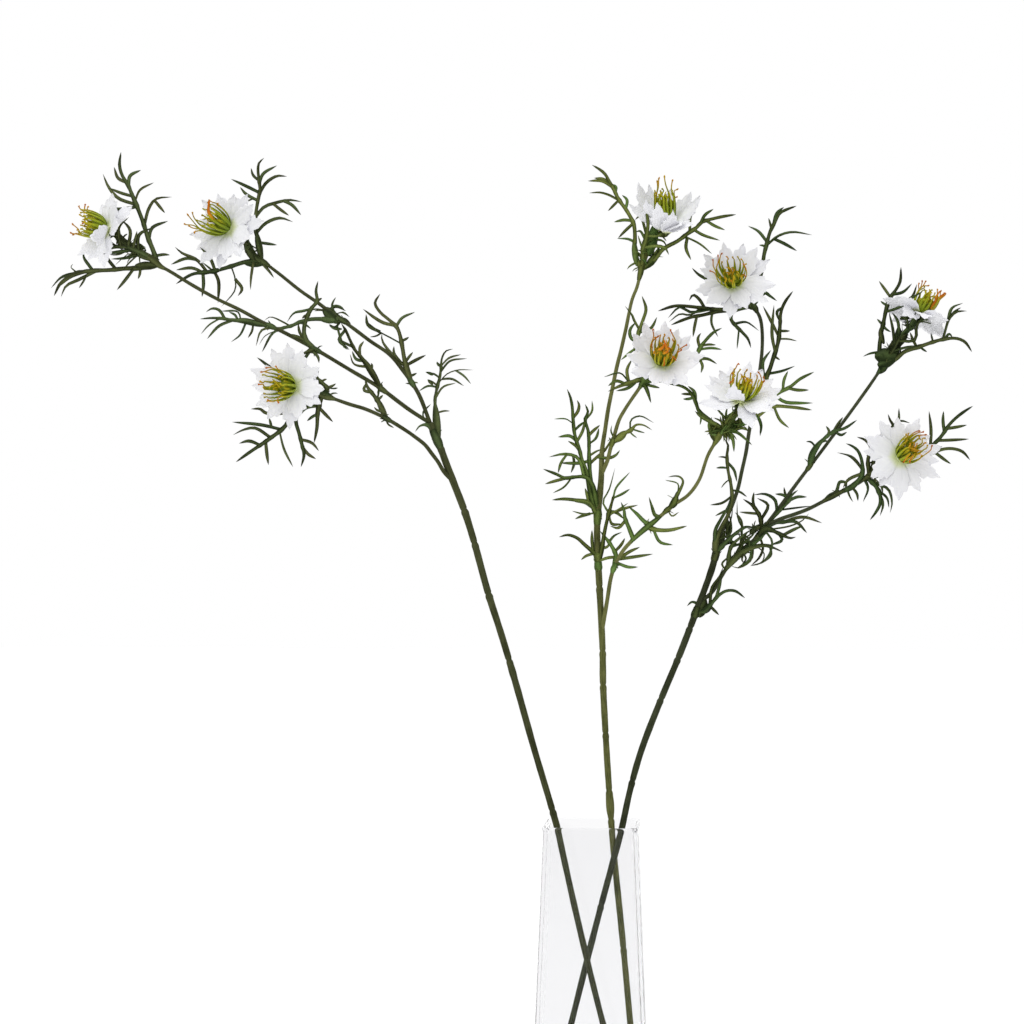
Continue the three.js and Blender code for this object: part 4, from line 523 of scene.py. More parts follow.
# How strongly a flower's petals bend up into a bowl, below zero they hang back, and how long
# they are beside the usual length.
BOWLS = {
    "left_flower_1": [0.5, 0.98], "left_flower_2": [0.6, 1.04], "left_flower_3": [0.7, 1.02],
    "middle_flower_1": [2.7, 1.22], "middle_flower_2": [1.7, 1.02], "middle_flower_3": [1.2, 1.08],
    "right_flower_1": [0.7, 1.02], "right_flower_2": [-1.0, 1.0], "right_flower_3": [0.5, 1.02],
}
# How wide a flower's lantern opens at the top, how tall it is, how far its colours are on
# from green to rust, and how wide its ribs are.
LANTERNS = {
    "left_flower_1": [1.15, 0.95, -0.05, 1.1], "left_flower_2": [1.35, 1.05, -0.1, 1],
    "left_flower_3": [1.35, 1.0, -0.04, 1.1], "middle_flower_1": [0.85, 1.3, -0.16, 1.7],
    "middle_flower_2": [1.2, 0.95, 0.13, 1.1], "middle_flower_3": [1.4, 0.95, 0.04, 1.1],
    "right_flower_1": [1.4, 0.85, 0.05, 1], "right_flower_2": [1.05, 0.95, -0.03, 1.4],
    "right_flower_3": [1.2, 1.0, 0.08, 1.1],
}
# Tufts of curled bracts at a node: across, down, how many, how long and how wide in mm.
TUFTS = {
    "left_flower_1": [[118, 246, 5, 16, 1.1], [126, 252, 5, 18, 1.1], [135, 254, 6, 17, 1.1], [144,
        250, 5, 17, 1.2]],
    "left_flower_2": [[249, 246, 6, 9, 1.5], [258, 250, 5, 8, 1.5]],
    "left_flower_3": [[322, 390, 10, 9, 1.2]],
    "middle_flower_1": [[640, 258, 7, 11, 1.6], [653, 256, 8, 12, 1.6]],
    "middle_flower_2": [[644, 374, 12, 8, 1.5]],
    "middle_flower_3": [[727, 424, 14, 15, 1.7], [722, 432, 12, 14, 1.6], [737, 414, 9, 10, 1.6],
        [712, 433, 8, 9, 1.6]],
    "right_flower_1": [[750, 304, 8, 7, 1.4]],
    "right_flower_2": [[890, 352, 16, 8, 1.0], [897, 343, 20, 8, 1.0], [903, 335, 16, 9, 1.0],
        [884, 358, 12, 9, 1.0], [908, 326, 12, 9, 1.1]],
    "right_flower_3": [[875, 478, 8, 8, 1.3]],
    "left_leaf_4": [[330, 316, 9, 7, 1.1]],
    "right_leaf_3": [[742, 540, 8, 8, 1.2], [748, 551, 8, 7, 1.2]],
    "right_leaf_4": [[755, 530, 9, 8, 1.3], [765, 526, 6, 7, 1.2]],
}
# Thick orange styles: across, down at one end, across, down at the other, and the width in mm.
BOLD_STYLES = {
    "left_flower_2": [[214, 222, 209, 200.5, 2.6]],
    "middle_flower_2": [[658, 350, 665, 344, 2.6], [668, 351, 664, 340, 2.0], [663, 354, 669, 347, 2.2]],
    "right_flower_2": [[931, 310, 938, 297, 3.8], [937, 299, 945, 292.5, 1.7], [935, 302, 940, 291, 1.7]],
}
# Broad bracts at a node: across, down at the root, across, down at the tip, and the widest
# part in mm.
BRACTS = {
    "left_flower_1": [[150, 260, 113, 234, 7], [135, 266, 160, 266, 6.4]],
    "left_flower_2": [[255, 261, 244, 235, 7], [262, 262, 256, 230, 5.4], [244, 263, 266, 264, 5.6]],
    "left_flower_3": [[331, 397, 318, 388, 5.6], [322, 392, 315, 377, 3.4]],
    "middle_flower_1": [[648, 256, 655, 222, 9], [637, 266, 634, 238, 5.2], [646, 268, 661, 251, 6.2],
        [641, 262, 650, 248, 4.6]],
    "middle_flower_2": [[641, 386, 650, 362, 7.2], [639, 374, 650, 366, 3.6]],
    "middle_flower_3": [[724, 434, 736, 410, 6.2], [710, 424, 717, 444, 6], [726, 430, 735, 418, 3.8]],
    "right_flower_1": [[746, 302, 757, 310, 7.2]],
    "right_flower_2": [[875, 356, 901, 356, 13], [878, 366, 900, 350, 10], [889, 350, 908, 332, 8.6],
        [897, 346, 899, 325, 5.6],
        [884, 344, 881, 326, 4.4], [900, 319, 918, 314, 4.6], [887, 361, 880, 374, 7]],
    "right_flower_3": [[872, 476, 884, 466, 5]],
    "left_leaf_4": [[338, 323, 322, 309, 7], [342, 329, 329, 325, 2.6]],
    "left_leaf_7": [[441, 367, 437, 361.5, 2], [433, 375, 425.5, 372, 2.4], [433, 385, 427.5, 379.5,
        2.6]],
    "right_leaf_2": [[699, 617, 706, 598, 9], [704, 613, 713, 600, 5]],
    "right_leaf_3": [[728, 542, 727, 518, 4.6], [728, 566, 745, 549, 6]],
    "right_leaf_4": [[750, 534, 760, 524, 5]],
}
# Where the tape round a stem overlaps, as across, down.
TAPE_ENDS = {
    "left_stem": [440, 447, 464, 510, 474, 542, 489, 594, 506, 660, 554, 809],
    "middle_stem": [599, 586, 602, 651, 603, 684, 605.5, 733, 609, 790, 611, 818, 623, 947],
    "right_stem": [689, 627, 678, 658, 660, 698, 633, 781, 601, 905],
}
# How thin the threads of a leaf are beside the usual ones.
FINE = {
    "left_leaf_1": 0.85, "left_leaf_4": 0.75, "left_leaf_7": 0.68, "middle_leaf_6": 0.6,
    "middle_leaf_7": 0.6, "right_leaf_1": 0.85, "right_leaf_3": 0.75,
}
# Stretches where a stem or a rib is swollen: across, down at one end, across, down at the
# other, and the diameter in mm.
SWELLINGS = {
    "left_stem": [[506, 658, 516, 684, 5.4], [440, 447, 430, 423, 5.4]],
    "middle_stem": [[609, 790, 611, 818, 5.9]],
    "right_stem": [[705, 585, 713, 560, 5.2]],
    "right_branch_1": [[719, 546, 721, 532, 6.6]],
    "left_leaf_1": [[264, 328, 236, 321, 5.2]],
    "left_leaf_2": [[315, 351, 304, 333, 5]],
    "left_leaf_3": [[379, 386, 364, 360, 5.4]],
    "left_leaf_4": [[342, 322, 322, 317, 5.2], [338, 318, 328, 307, 4.4]],
    "left_leaf_5": [[411, 384, 404, 360, 5]],
    "left_leaf_6": [[386, 419, 378, 401, 4.6]],
    "left_leaf_7": [[439, 445, 436, 408, 6.4]],
    "middle_leaf_1": [[596, 516, 592, 478, 4.2]],
    "middle_leaf_2": [[600, 565, 604, 535, 3.8]],
    "middle_leaf_4": [[616, 570, 616, 554, 4.4]],
    "middle_leaf_5": [[636, 542, 628, 526, 3.4]],
    "middle_leaf_6": [[670, 508, 677, 497, 5.6]],
    "middle_leaf_7": [[615, 440, 626, 433, 5.8]],
    "right_leaf_1": [[714, 560, 720, 530, 5.2]],
    "right_leaf_2": [[697, 614, 708, 604, 4.8]],
    "right_leaf_3": [[728, 568, 748, 550, 5]],
    "right_leaf_4": [[756, 540, 776, 526, 5.4]],
    "right_leaf_5": [[808, 466, 820, 443, 5.4]],
    "right_leaf_6": [[843, 494, 858, 478, 4.6], [820, 504, 836, 494, 5]],
    "right_leaf_7": [[757, 394, 770, 370, 4.6]],
}

# ---- From the elevation to the model ----


def turned(vectors):
    """Vectors as right, back, up, turned with the elevation about the vase's axis."""
    right, back, up = np.asarray(vectors, float).T
    cosine, sine = math.cos(VIEW_TURN), math.sin(VIEW_TURN)
    return np.stack([right * cosine - back * sine, right * sine + back * cosine, up], axis=-1)


def place(drawn):
    """Drawn points in the model: each goes back along its sight line to its real depth."""
    across, down, back = np.asarray(drawn, float).T
    spread = 1 + back / EYE_DISTANCE
    right = SQUARE * (EYE_ACROSS - AXIS_ACROSS + (across - EYE_ACROSS) * spread)
    up = SQUARE * (FOOT_DOWN - EYE_DOWN - (down - EYE_DOWN) * spread)
    return turned(np.stack([right, back, up], axis=-1))


def drawn_from(points):
    """The other way round: where points of the model lie on the elevation."""
    x, y, up = np.asarray(points, float).T
    cosine, sine = math.cos(VIEW_TURN), math.sin(VIEW_TURN)
    right, back = x * cosine + y * sine, y * cosine - x * sine
    spread = 1 + back / EYE_DISTANCE
    across = EYE_ACROSS + (right / SQUARE - EYE_ACROSS + AXIS_ACROSS) / spread
    down = EYE_DOWN + (FOOT_DOWN - EYE_DOWN - up / SQUARE) / spread
    return np.stack([across, down, back], axis=-1)


def unit(vectors):
    """Vectors of length one."""
    vectors = np.asarray(vectors, float)
    return vectors / np.maximum(np.linalg.norm(vectors, axis=-1, keepdims=True), 1e-9)


AHEAD = turned([0, 1, 0])  # the way the eye looks


def pairs(flat):
    """A flat list across, down, across, down ... as points."""
    return np.array(flat, float).reshape(-1, 2)


def lengths_along(line):
    """How far each point lies along a line of points."""
    steps = np.linalg.norm(np.diff(line, axis=0), axis=1)
    return np.concatenate([[0.0], np.cumsum(steps)])


def with_depth(points, first, last):
    """Drawn points with a depth each, which runs evenly from one end of the line to the other."""
    points = np.asarray(points, float)[:, :2]
    share = lengths_along(points)
    return np.column_stack([points, first + (last - first) * share / share[-1]])


def nearest_on(lines, point):
    """The point of some drawn lines that lies nearest to a drawn point, with its depth."""
    feet = []
    for line in lines:
        start, step = line[:-1], np.diff(line, axis=0)
        square = np.maximum((step[:, :2] ** 2).sum(1), 1e-9)
        share = ((point[:2] - start[:, :2]) * step[:, :2]).sum(1) / square
        feet.append(start + step * np.clip(share, 0, 1)[:, None])
    feet = np.concatenate(feet)
    return feet[np.argmin(np.linalg.norm(feet[:, :2] - point[:2], axis=1))]


def even_steps(line, count):
    """A line of points as `count` points at even steps of its length."""
    lengths = lengths_along(line)
    where = np.linspace(0, lengths[-1], count)
    return np.column_stack([np.interp(where, lengths, line[:, k]) for k in range(3)])


def smooth_line(points, count):
    """A smooth curve through points, as `count` even steps.

    A centripetal Catmull-Rom curve: a knot's distance to the next is the square root of the
    stretch between them, and each stretch is the cubic that leaves and meets its ends with the
    slopes of their neighbours.
    """
    points = np.asarray(points, float)
    gaps = np.sqrt(np.maximum(np.linalg.norm(np.diff(points, axis=0), axis=1), 1e-6))
    slopes = np.diff(points, axis=0) / gaps[:, None]
    weights = (gaps[1:] / (gaps[:-1] + gaps[1:]))[:, None]
    inner = slopes[:-1] * weights + slopes[1:] * (1 - weights)
    tangents = np.vstack([slopes[:1], inner, slopes[-1:]])
    knots = np.concatenate([[0.0], np.cumsum(gaps)])
    t = np.linspace(0, knots[-1], 24 * len(points))
    i = np.clip(np.searchsorted(knots, t, side="right") - 1, 0, len(gaps) - 1)
    x, gap = ((t - knots[i]) / gaps[i])[:, None], gaps[i][:, None]
    curve = (1 + 2 * x) * (1 - x) ** 2 * points[i] + x * (1 - x) ** 2 * gap * tangents[i]
    curve += x ** 2 * (3 - 2 * x) * points[i + 1] - x ** 2 * (1 - x) * gap * tangents[i + 1]
    return even_steps(curve, count)


# ---- Surfaces ----


def skin(grid, along, across, tone):
    """A closed surface over rings of points: quads between the rings, and a fan to the middle
    of each end ring.

    `along` holds a number for each ring, `tone` one for each ring or one for all of them, and
    `across` one for each point of a ring or one for all.
    """
    rings, sides = grid.shape[:2]
    points = np.vstack([grid.reshape(-1, 3), grid[0].mean(0), grid[-1].mean(0)])
    ring, side = np.arange(rings - 1)[:, None] * sides, np.arange(sides)[None, :]
    after = (side + 1) % sides
    quads = np.stack(
        [ring + side, ring + sides + side, ring + sides + after, ring + after], axis=-1
    ).reshape(-1, 4)
    side, after, last = side[0], after[0], (rings - 1) * sides
    first_fan = np.column_stack([np.full(sides, rings * sides), side, after])
    last_fan = np.column_stack([np.full(sides, rings * sides + 1), last + after, last + side])
    tone = np.repeat(np.broadcast_to(np.asarray(tone, float), rings), sides)
    along = np.broadcast_to(np.asarray(along, float)[:, None], (rings, sides)).ravel()
    across = np.broadcast_to(np.asarray(across, float), (rings, sides)).ravel()
    return {
        "points": points,
        "quads": quads,
        "fans": np.vstack([first_fan, last_fan]),
        "along": np.concatenate([along, [along[0], along[-1]]]),
        "across": np.concatenate([across, [0, 0]]),
        "tone": np.concatenate([tone, [tone[0], tone[-1]]]),
    }


def frames_along(line, facing):
    """Unit vectors across a line and out of its flat side, which looks towards `facing`."""
    along = unit(np.gradient(line, axis=0))
    across = unit(np.cross(along, facing))
    return across, np.cross(across, along)


def strand(line, half_width, half_depth, facing, sides, roll=0.0, tone=0.5):
    """A strand: an ellipse carried along a line.

    A point is the line's point, plus half width x cos(turn) across it, plus half depth x
    sin(turn) out of its flat side; `roll` turns the ellipse about the line.
    """
    across, out = frames_along(line, facing)
    roll = np.broadcast_to(roll, len(line))[:, None]
    across, out = across * np.cos(roll) + out * np.sin(roll), out * np.cos(roll) - across * np.sin(roll)
    turn = 2 * math.pi * np.arange(sides) / sides
    wide = np.broadcast_to(half_width, len(line))[:, None, None] * np.cos(turn)[None, :, None]
    deep = np.broadcast_to(half_depth, len(line))[:, None, None] * np.sin(turn)[None, :, None]
    grid = line[:, None] + wide * across[:, None] + deep * out[:, None]
    return skin(grid, np.linspace(0, 1, len(line)), np.cos(turn), tone)


def build_piece(name, parts, material, node):
    """Puts closed surfaces into one mesh that stands for a CAD node."""
    offsets = np.cumsum([0] + [len(part["points"]) for part in parts[:-1]])
    quads = np.vstack([part["quads"] + offset for part, offset in zip(parts, offsets)])
    fans = np.vstack([part["fans"] + offset for part, offset in zip(parts, offsets)])
    points = np.vstack([part["points"] for part in parts]) / MM_PER_METRE
    corners = np.concatenate([quads.ravel(), fans.ravel()]).astype(np.int32)
    totals = np.concatenate([np.full(len(quads), 4), np.full(len(fans), 3)]).astype(np.int32)
    mesh = bpy.data.meshes.new(name)
    mesh.vertices.add(len(points))
    mesh.vertices.foreach_set("co", points.astype(np.float32).ravel())
    mesh.loops.add(len(corners))
    mesh.loops.foreach_set("vertex_index", corners)
    mesh.polygons.add(len(totals))
    mesh.polygons.foreach_set("loop_start", (np.cumsum(totals) - totals).astype(np.int32))
    mesh.polygons.foreach_set("loop_total", totals)
    mesh.polygons.foreach_set("use_smooth", np.ones(len(totals), bool))
    mesh.update(calc_edges=True)
    if mesh.validate():
        raise RuntimeError(f"{name}: the mesh had faults")
    for key in ("along", "across", "tone"):
        values = np.concatenate([part[key] for part in parts]).astype(np.float32)
        mesh.attributes.new(key, "FLOAT", "POINT").data.foreach_set("value", values)
    mesh.materials.append(material)
    piece = bpy.data.objects.new(name, mesh)
    bpy.context.scene.collection.objects.link(piece)
    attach(piece, "root")
    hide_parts(node)
    return piece


def spray_of(name):
    """The spray that a piece belongs to."""
    return name.split("_")[0]


def around(x, y, angle):
    """The direction at an angle from x towards y."""
    return x * math.cos(angle) + y * math.sin(angle)


def ring_angle(i, count, wander, random):
    """The angle of one of `count` things set evenly round a ring, but for a share `wander`."""
    return 2 * math.pi * (i + random.uniform(-wander, wander)) / count


# ---- Stems ----

# How much paler the tape is on the branches of each spray, and the shares of a main stem's
# length over which it turns as pale.
BRANCH_TONES = {"left": 0.12, "middle": 0.32, "right": 0.3}
PALE_TOPS = {"middle_stem": [0.72, 0.82], "left_stem": [0.6, 0.75]}
# How much of a stem's length one step of `along` stands for, in mm.
TAPE_REPEAT = 100
# A swelling whose ends lie further than this from a line belongs to another one, in squares.
SWELLING_NEAR = 9
# How far a swelling runs on past its drawn ends, as a share of its half length.
SWELLING_RUN_ON = 1.25


def stem_line(name):
    """A stem's drawn line. A branch starts on the middle line of the stem it springs from."""
    stem = STEMS[name]
    route = pairs(stem["route"])
    if "from" not in stem:
        return with_depth(route, *stem["back"])
    root = nearest_on([stem_line(stem["from"])], route[0])
    return with_depth(np.vstack([root[:2], route[1:]]), root[2], stem["back"])


def swollen(line, radius, swellings):
    """Radii along a line, raised to half an ellipse over each stretch that is swollen."""
    lengths = lengths_along(line)
    for x0, y0, x1, y1, diameter in swellings:
        wanted = np.array([[x0, y0], [x1, y1]])
        ends = np.array([nearest_on([drawn_from(line)], point) for point in wanted])
        if np.abs(ends[:, :2] - wanted).max() > SWELLING_NEAR:
            continue
        low, high = sorted(lengths[np.argmin(np.linalg.norm(line - place(e), axis=1))] for e in ends)
        middle, reach = (low + high) / 2, max((high - low) / 2, 1.0) * SWELLING_RUN_ON
        bulge = np.sqrt(np.clip(1 - ((lengths - middle) / reach) ** 2, 0, None))
        radius = np.maximum(radius, diameter / 2 * bulge)
    return radius


def paleness(name, share):
    """How much paler the tape is along a stem: evenly on a branch, and on a main stem rising in
    a straight line over its stretch in PALE_TOPS."""
    tone = BRANCH_TONES[spray_of(name)]
    if "from" in STEMS[name]:
        return np.full(len(share), tone)
    if name not in PALE_TOPS:
        return np.zeros(len(share))
    low, high = PALE_TOPS[name]
    return tone * np.clip((share - low) / (high - low), 0, 1)


def stem_parts(name, settings, random):
    """A stem wrapped in tape: a round rod whose skin is a little uneven, with a groove and a
    raised edge at each end of tape.

    radius = drawn radius x (1 + slow waves along and round it - groove + edge)
    """
    drawn = stem_line(name)
    rings = int(lengths_along(place(drawn))[-1] / settings.ring_step / MM_PER_METRE)
    line = smooth_line(place(drawn), rings)
    lengths = lengths_along(line)
    where, diameters = np.array(STEMS[name]["thick"]).T
    radius = np.interp(lengths / lengths[-1], where, diameters) / 2
    radius = swollen(line, radius, SWELLINGS.get(name, []))
    waves = sum(
        np.sin(lengths / length + random.uniform(0, 6.3)) * share
        for length, share in ((2.3, 0.012), (5.1, 0.018), (13, 0.02))
    )
    radius = radius * (1 + waves)
    for end in pairs(TAPE_ENDS.get(name, [])):
        foot = place(nearest_on([drawn], end))
        offset = lengths - lengths[np.argmin(np.linalg.norm(line - foot, axis=1))]
        radius *= 1 - settings.groove * np.exp(-(offset / 0.9) ** 2)
        radius *= 1 + 0.6 * settings.groove * np.exp(-((offset + 2.4) / 1.4) ** 2)
    turn = 2 * math.pi * np.arange(settings.sides) / settings.sides
    twist = np.cumsum(random.normal(0, 0.05, len(line)))[:, None]
    ridges = 1 + 0.028 * np.cos(3 * turn + twist) + 0.02 * np.cos(7 * turn - 1.7 * twist)
    across, out = frames_along(line, -AHEAD)
    reach = radius[:, None] * ridges
    grid = line[:, None] + (reach * np.cos(turn))[..., None] * across[:, None]
    grid += (reach * np.sin(turn))[..., None] * out[:, None]
    tone = 0.5 + paleness(name, lengths / lengths[-1]) + random.uniform(-0.02, 0.02)
    return [skin(grid, lengths / TAPE_REPEAT, np.cos(turn), tone)]


# ---- Leaves ----

# Half width along a thread leaf, from its root to its point, as shares of its widest.
THREAD_SHAPE = np.array([
    [0, 1.0], [0.08, 0.92], [0.3, 1], [0.5, 1], [0.7, 0.85], [0.85, 0.58], [0.95, 0.28], [1, 0.04],
])
# The same for a broad bract.
BRACT_SHAPE = np.array([
    [0, 0.3], [0.12, 0.7], [0.35, 1], [0.6, 0.93], [0.8, 0.62], [0.93, 0.28], [1, 0.04],
])
# Radius of a flower's stalk in mm, along it from its branch to the petals.
STALK_SHAPE = np.array([
    [0, 1.3], [0.1, 2.2], [0.2, 2.6], [0.36, 1.9], [0.62, 1.7], [0.84, 2.2], [1, 3.4],
])
# The tufts of curled bracts on a stalk: where along it, how many, and how long in mm.
STALK_TUFTS = ((0.2, 6, 7), (0.45, 6, 8), (0.76, 7, 9))
# The share of its length by which each leaf swings back, in turn along a rib.
SWINGS = (0.45, -0.35, 0.15, -0.55, 0.3, -0.2)
RIB_STEPS = 30
# How far a sleeve runs past the roots of its first and its last twig, in mm.
SLEEVE_REACH = 4.5
# The steps along a stem from which a sleeve's stretch is taken.
STEM_STEPS = 400
BRACT_STEPS = 14


def thread(line, half_width, settings, random):
    """A thread leaf: a flat strand that is widest near its middle and ends in a point."""
    share = np.linspace(0, 1, len(line))
    width = half_width * np.interp(share, *THREAD_SHAPE.T)
    facing = unit(-AHEAD + random.normal(0, 0.35, 3))
    roll = random.uniform(-0.5, 0.5) + share * random.uniform(-0.5, 0.5)
    return strand(line, width, width * settings.flatness, facing, settings.sides, roll, random.uniform())


def twig_parts(twig, base, swellings, settings, random, fine=1.0):
    """One twig: a rib that springs from the drawn line `base`, and its thread leaves.

    A leaf springs from the rib or from an earlier leaf, and they swing by turns to the front
    and to the back. The rib widens where a leaf leaves it and ends in a point.
    """
    points = pairs(twig["line"])
    root = nearest_on([base], points[0])
    points = np.vstack([root[:2], points[1:]])
    rib = smooth_line(with_depth(points, root[2], root[2] + twig["lean"]), RIB_STEPS)
    line = place(rib)
    lengths = lengths_along(line)
    ends = np.array([settings.rib_root, settings.rib_tip]) * MM_PER_METRE / 2
    width = np.interp(lengths / lengths[-1], [0, 0.75], ends * [1, fine])
    width *= np.interp(lengths[-1] - lengths, [0, 3, 9], [0.06, 0.62, 1])
    drawn, leaves = [rib], []
    for i, blade in enumerate(twig["blades"]):
        points = pairs(blade)
        reach = SQUARE * lengths_along(points)[-1]
        foot = nearest_on(drawn, points[0])
        back = foot[2] + reach * SWINGS[i % len(SWINGS)]
        points = with_depth(np.vstack([foot[:2], points[1:]]), foot[2], back)
        leaf = smooth_line(points, settings.rings)
        drawn.append(leaf)
        size = fine * settings.thread_width * MM_PER_METRE / 2 * np.clip(0.72 + reach / 40, 0.8, 1.12)
        leaves.append(thread(place(leaf), size, settings, random))
        gap = np.linalg.norm(line - place(foot), axis=1)
        width += 0.35 * np.exp(-(gap / 1.7) ** 2)
    radius = swollen(line, width, swellings)
    depth = np.maximum(radius * 0.62, radius - 0.9)
    facing = unit(-AHEAD + random.normal(0, 0.2, 3))
    return [strand(line, radius, depth, facing, 10, random.uniform(-0.3, 0.3), random.uniform()), *leaves]


def curls(root, along, count, reach, half_width, settings, random):
    """Short curled bracts that spring from round a point.

    Each is an arc: it sets off outwards and turns evenly towards `along` or away from it.
    """
    side = unit(np.cross(along, unit(random.normal(size=3))))
    other = np.cross(along, side)
    parts = []
    for i in range(count):
        outward = around(side, other, ring_angle(i, count, 0.3, random))
        length = reach * random.uniform(0.6, 1.25)
        heading = random.uniform(0.1, 0.8) + np.linspace(0, random.uniform(-1.8, 3.2), 9)[:, None]
        steps = (outward * np.cos(heading) + along * np.sin(heading)) * length / 8
        line = root + along * random.uniform(-2, 2) + np.cumsum(steps, axis=0) - steps[0]
        parts.append(thread(line, half_width * random.uniform(0.8, 1.15), settings, random))
    return parts


def crowd(name, drawn, along, settings, random):
    """The broad bracts and the tufts of curled ones at a node, at the depth of `drawn`."""
    parts = []
    for x0, y0, x1, y1, diameter in BRACTS.get(name, []):
        root, tip = nearest_on([drawn], np.array([x0, y0])), nearest_on([drawn], np.array([x1, y1]))
        ends = place([[x0, y0, root[2]], [x1, y1, tip[2]]])
        share = np.linspace(0, 1, BRACT_STEPS)
        bract = ends[0] + (ends[1] - ends[0]) * share[:, None]
        bow = np.sin(np.linspace(0, math.pi, BRACT_STEPS))[:, None]
        bract = bract + bow * random.normal(0, 0.5, 3)
        body = np.interp(share, *BRACT_SHAPE.T) * diameter / 2
        parts.append(strand(bract, body, body * 0.8, -AHEAD, 12, 0.4, random.uniform(0, 0.4)))
    for x0, y0, count, reach, width in TUFTS.get(name, []):
        back = nearest_on([drawn], np.array([x0, y0]))[2] + random.uniform(-4, 4)
        parts += curls(place([x0, y0, back]), along, count, reach, width / 2, settings, random)
    return parts


def leaf_parts(name, settings, random):
    """A leaf sprig: a sleeve that clasps its stem, its twigs, and a few curled bracts."""
    sprig = LEAVES[name]
    base = stem_line(sprig["on"])
    line = smooth_line(place(base), STEM_STEPS)
    roots = [place(nearest_on([base], np.array(twig["line"][:2]))) for twig in sprig["twigs"]]
    spots = [np.argmin(np.linalg.norm(line - root, axis=1)) for root in roots]
    step = lengths_along(line)[1]
    low = max(0, int(min(spots) - SLEEVE_REACH / step))
    high = min(len(line) - 1, int(max(spots) + SLEEVE_REACH / step))
    sleeve = even_steps(line[low:high + 1], 16)
    where, diameters = np.array(STEMS[sprig["on"]]["thick"]).T
    share = np.linspace(0, 1, len(sleeve))
    inner = np.interp((low + (high - low) * share) / len(line), where, diameters) / 2
    hug = np.sin(math.pi * share) ** 0.8
    radius = inner - 0.25 + (settings.sleeve * MM_PER_METRE + 0.25) * hug
    radius *= 1 + 0.05 * hug * np.sin(9 * share + random.uniform(0, 6))
    parts = [strand(sleeve, radius, radius, -AHEAD, 14, 0, random.uniform())]
    swellings = SWELLINGS.get(name, [])
    for twig in sprig["twigs"]:
        parts += twig_parts(twig, base, swellings, settings, random, FINE.get(name, 1))
    along = unit(sleeve[-1] - sleeve[0])
    parts += curls(sleeve[8], along, settings.bracts, 5.5, 0.55, settings, random)
    return parts + crowd(name, base, along, settings, random)


def stalk_line(flower):
    """The drawn line of a flower's stalk, from the end of its branch to its hub."""
    end, hub = stem_line(flower["branch"])[-1], np.array(flower["hub"], float)
    return with_depth(np.vstack([end[:2], pairs(flower["stalk"]), hub[:2]]), end[2], hub[2])


def frill_parts(name, settings, random):
    """A flower's frill: its stalk, which swells at the leaf node and below the petals, the
    twigs that spring from it, and the bracts and sepals that crowd under the petals."""
    flower = FLOWERS[name]
    drawn = stalk_line(flower)
    face = unit(turned(flower["face"]))
    hub = place(drawn[-1])
    branch = place(stem_line(flower["branch"]))
    sleeve = branch[-1] + 4 * unit(branch[-2] - branch[-1])
    points = np.vstack([sleeve, place(drawn[:-1]), hub - 7 * face, hub - 1.4 * face])
    line = smooth_line(points, 44)
    share = np.linspace(0, 1, len(line))
    radius = np.interp(share, *STALK_SHAPE.T) * (1 + 0.07 * np.sin(17 * share + random.uniform(0, 6)))
    parts = [strand(line, radius, radius * 0.92, -AHEAD, 12, share * 1.5, random.uniform())]
    for twig in FRILLS[name.replace("flower", "frill")]:
        parts += twig_parts(twig, drawn, [], settings, random)
    for where, count, reach in STALK_TUFTS:
        i = int(where * len(line))
        along = unit(line[i + 2] - line[i - 2])
        parts += curls(line[i], along, count, reach, 0.62, settings, random)
    parts += crowd(name, drawn, unit(hub - line[0]), settings, random)
    x, y = ring_frame(face)
    for i in range(settings.sepals):
        outward = around(x, y, ring_angle(i, settings.sepals, 0.2, random))
        spread = random.uniform(9, 13)
        sepal = smooth_line(
            [hub - 7 * face + 2 * outward, hub - 4.2 * face + 5 * outward,
             hub - 2.6 * face + spread * outward], 8,
        )
        size = random.uniform(1.1, 1.5)
        width = size * np.interp(np.linspace(0, 1, 8), *THREAD_SHAPE.T)
        parts.append(strand(sepal, width, width * 0.4, face, settings.sides, 0, random.uniform()))
    return parts


# ---- Flowers ----


def ring_frame(axis):
    """Two unit vectors square to an axis and to each other, the first of them level."""
    x = unit(np.cross([0, 0, 1], axis))
    return x, np.cross(axis, x)


# How far from the flower's axis a petal starts, in mm.
PETAL_ROOT = 2.2


def petal_curve(length, strength, steps):
    """A petal's middle line: its distance from the flower's axis, its rise and its slope.

    slope = 0.45 x strength x (0.35 + 0.65 v), with v from 0 at the root to 1 at the tip; the
    distance and the rise are the running sums of its cosine and sine.
    """
    slope = 0.45 * np.multiply.outer(strength, 0.35 + 0.65 * np.linspace(0, 1, steps))
    step = np.asarray((length - PETAL_ROOT) / steps)[..., None]
    radius = PETAL_ROOT + step * np.cumsum(np.cos(slope), axis=-1)
    return radius, step * np.cumsum(np.sin(slope), axis=-1), slope


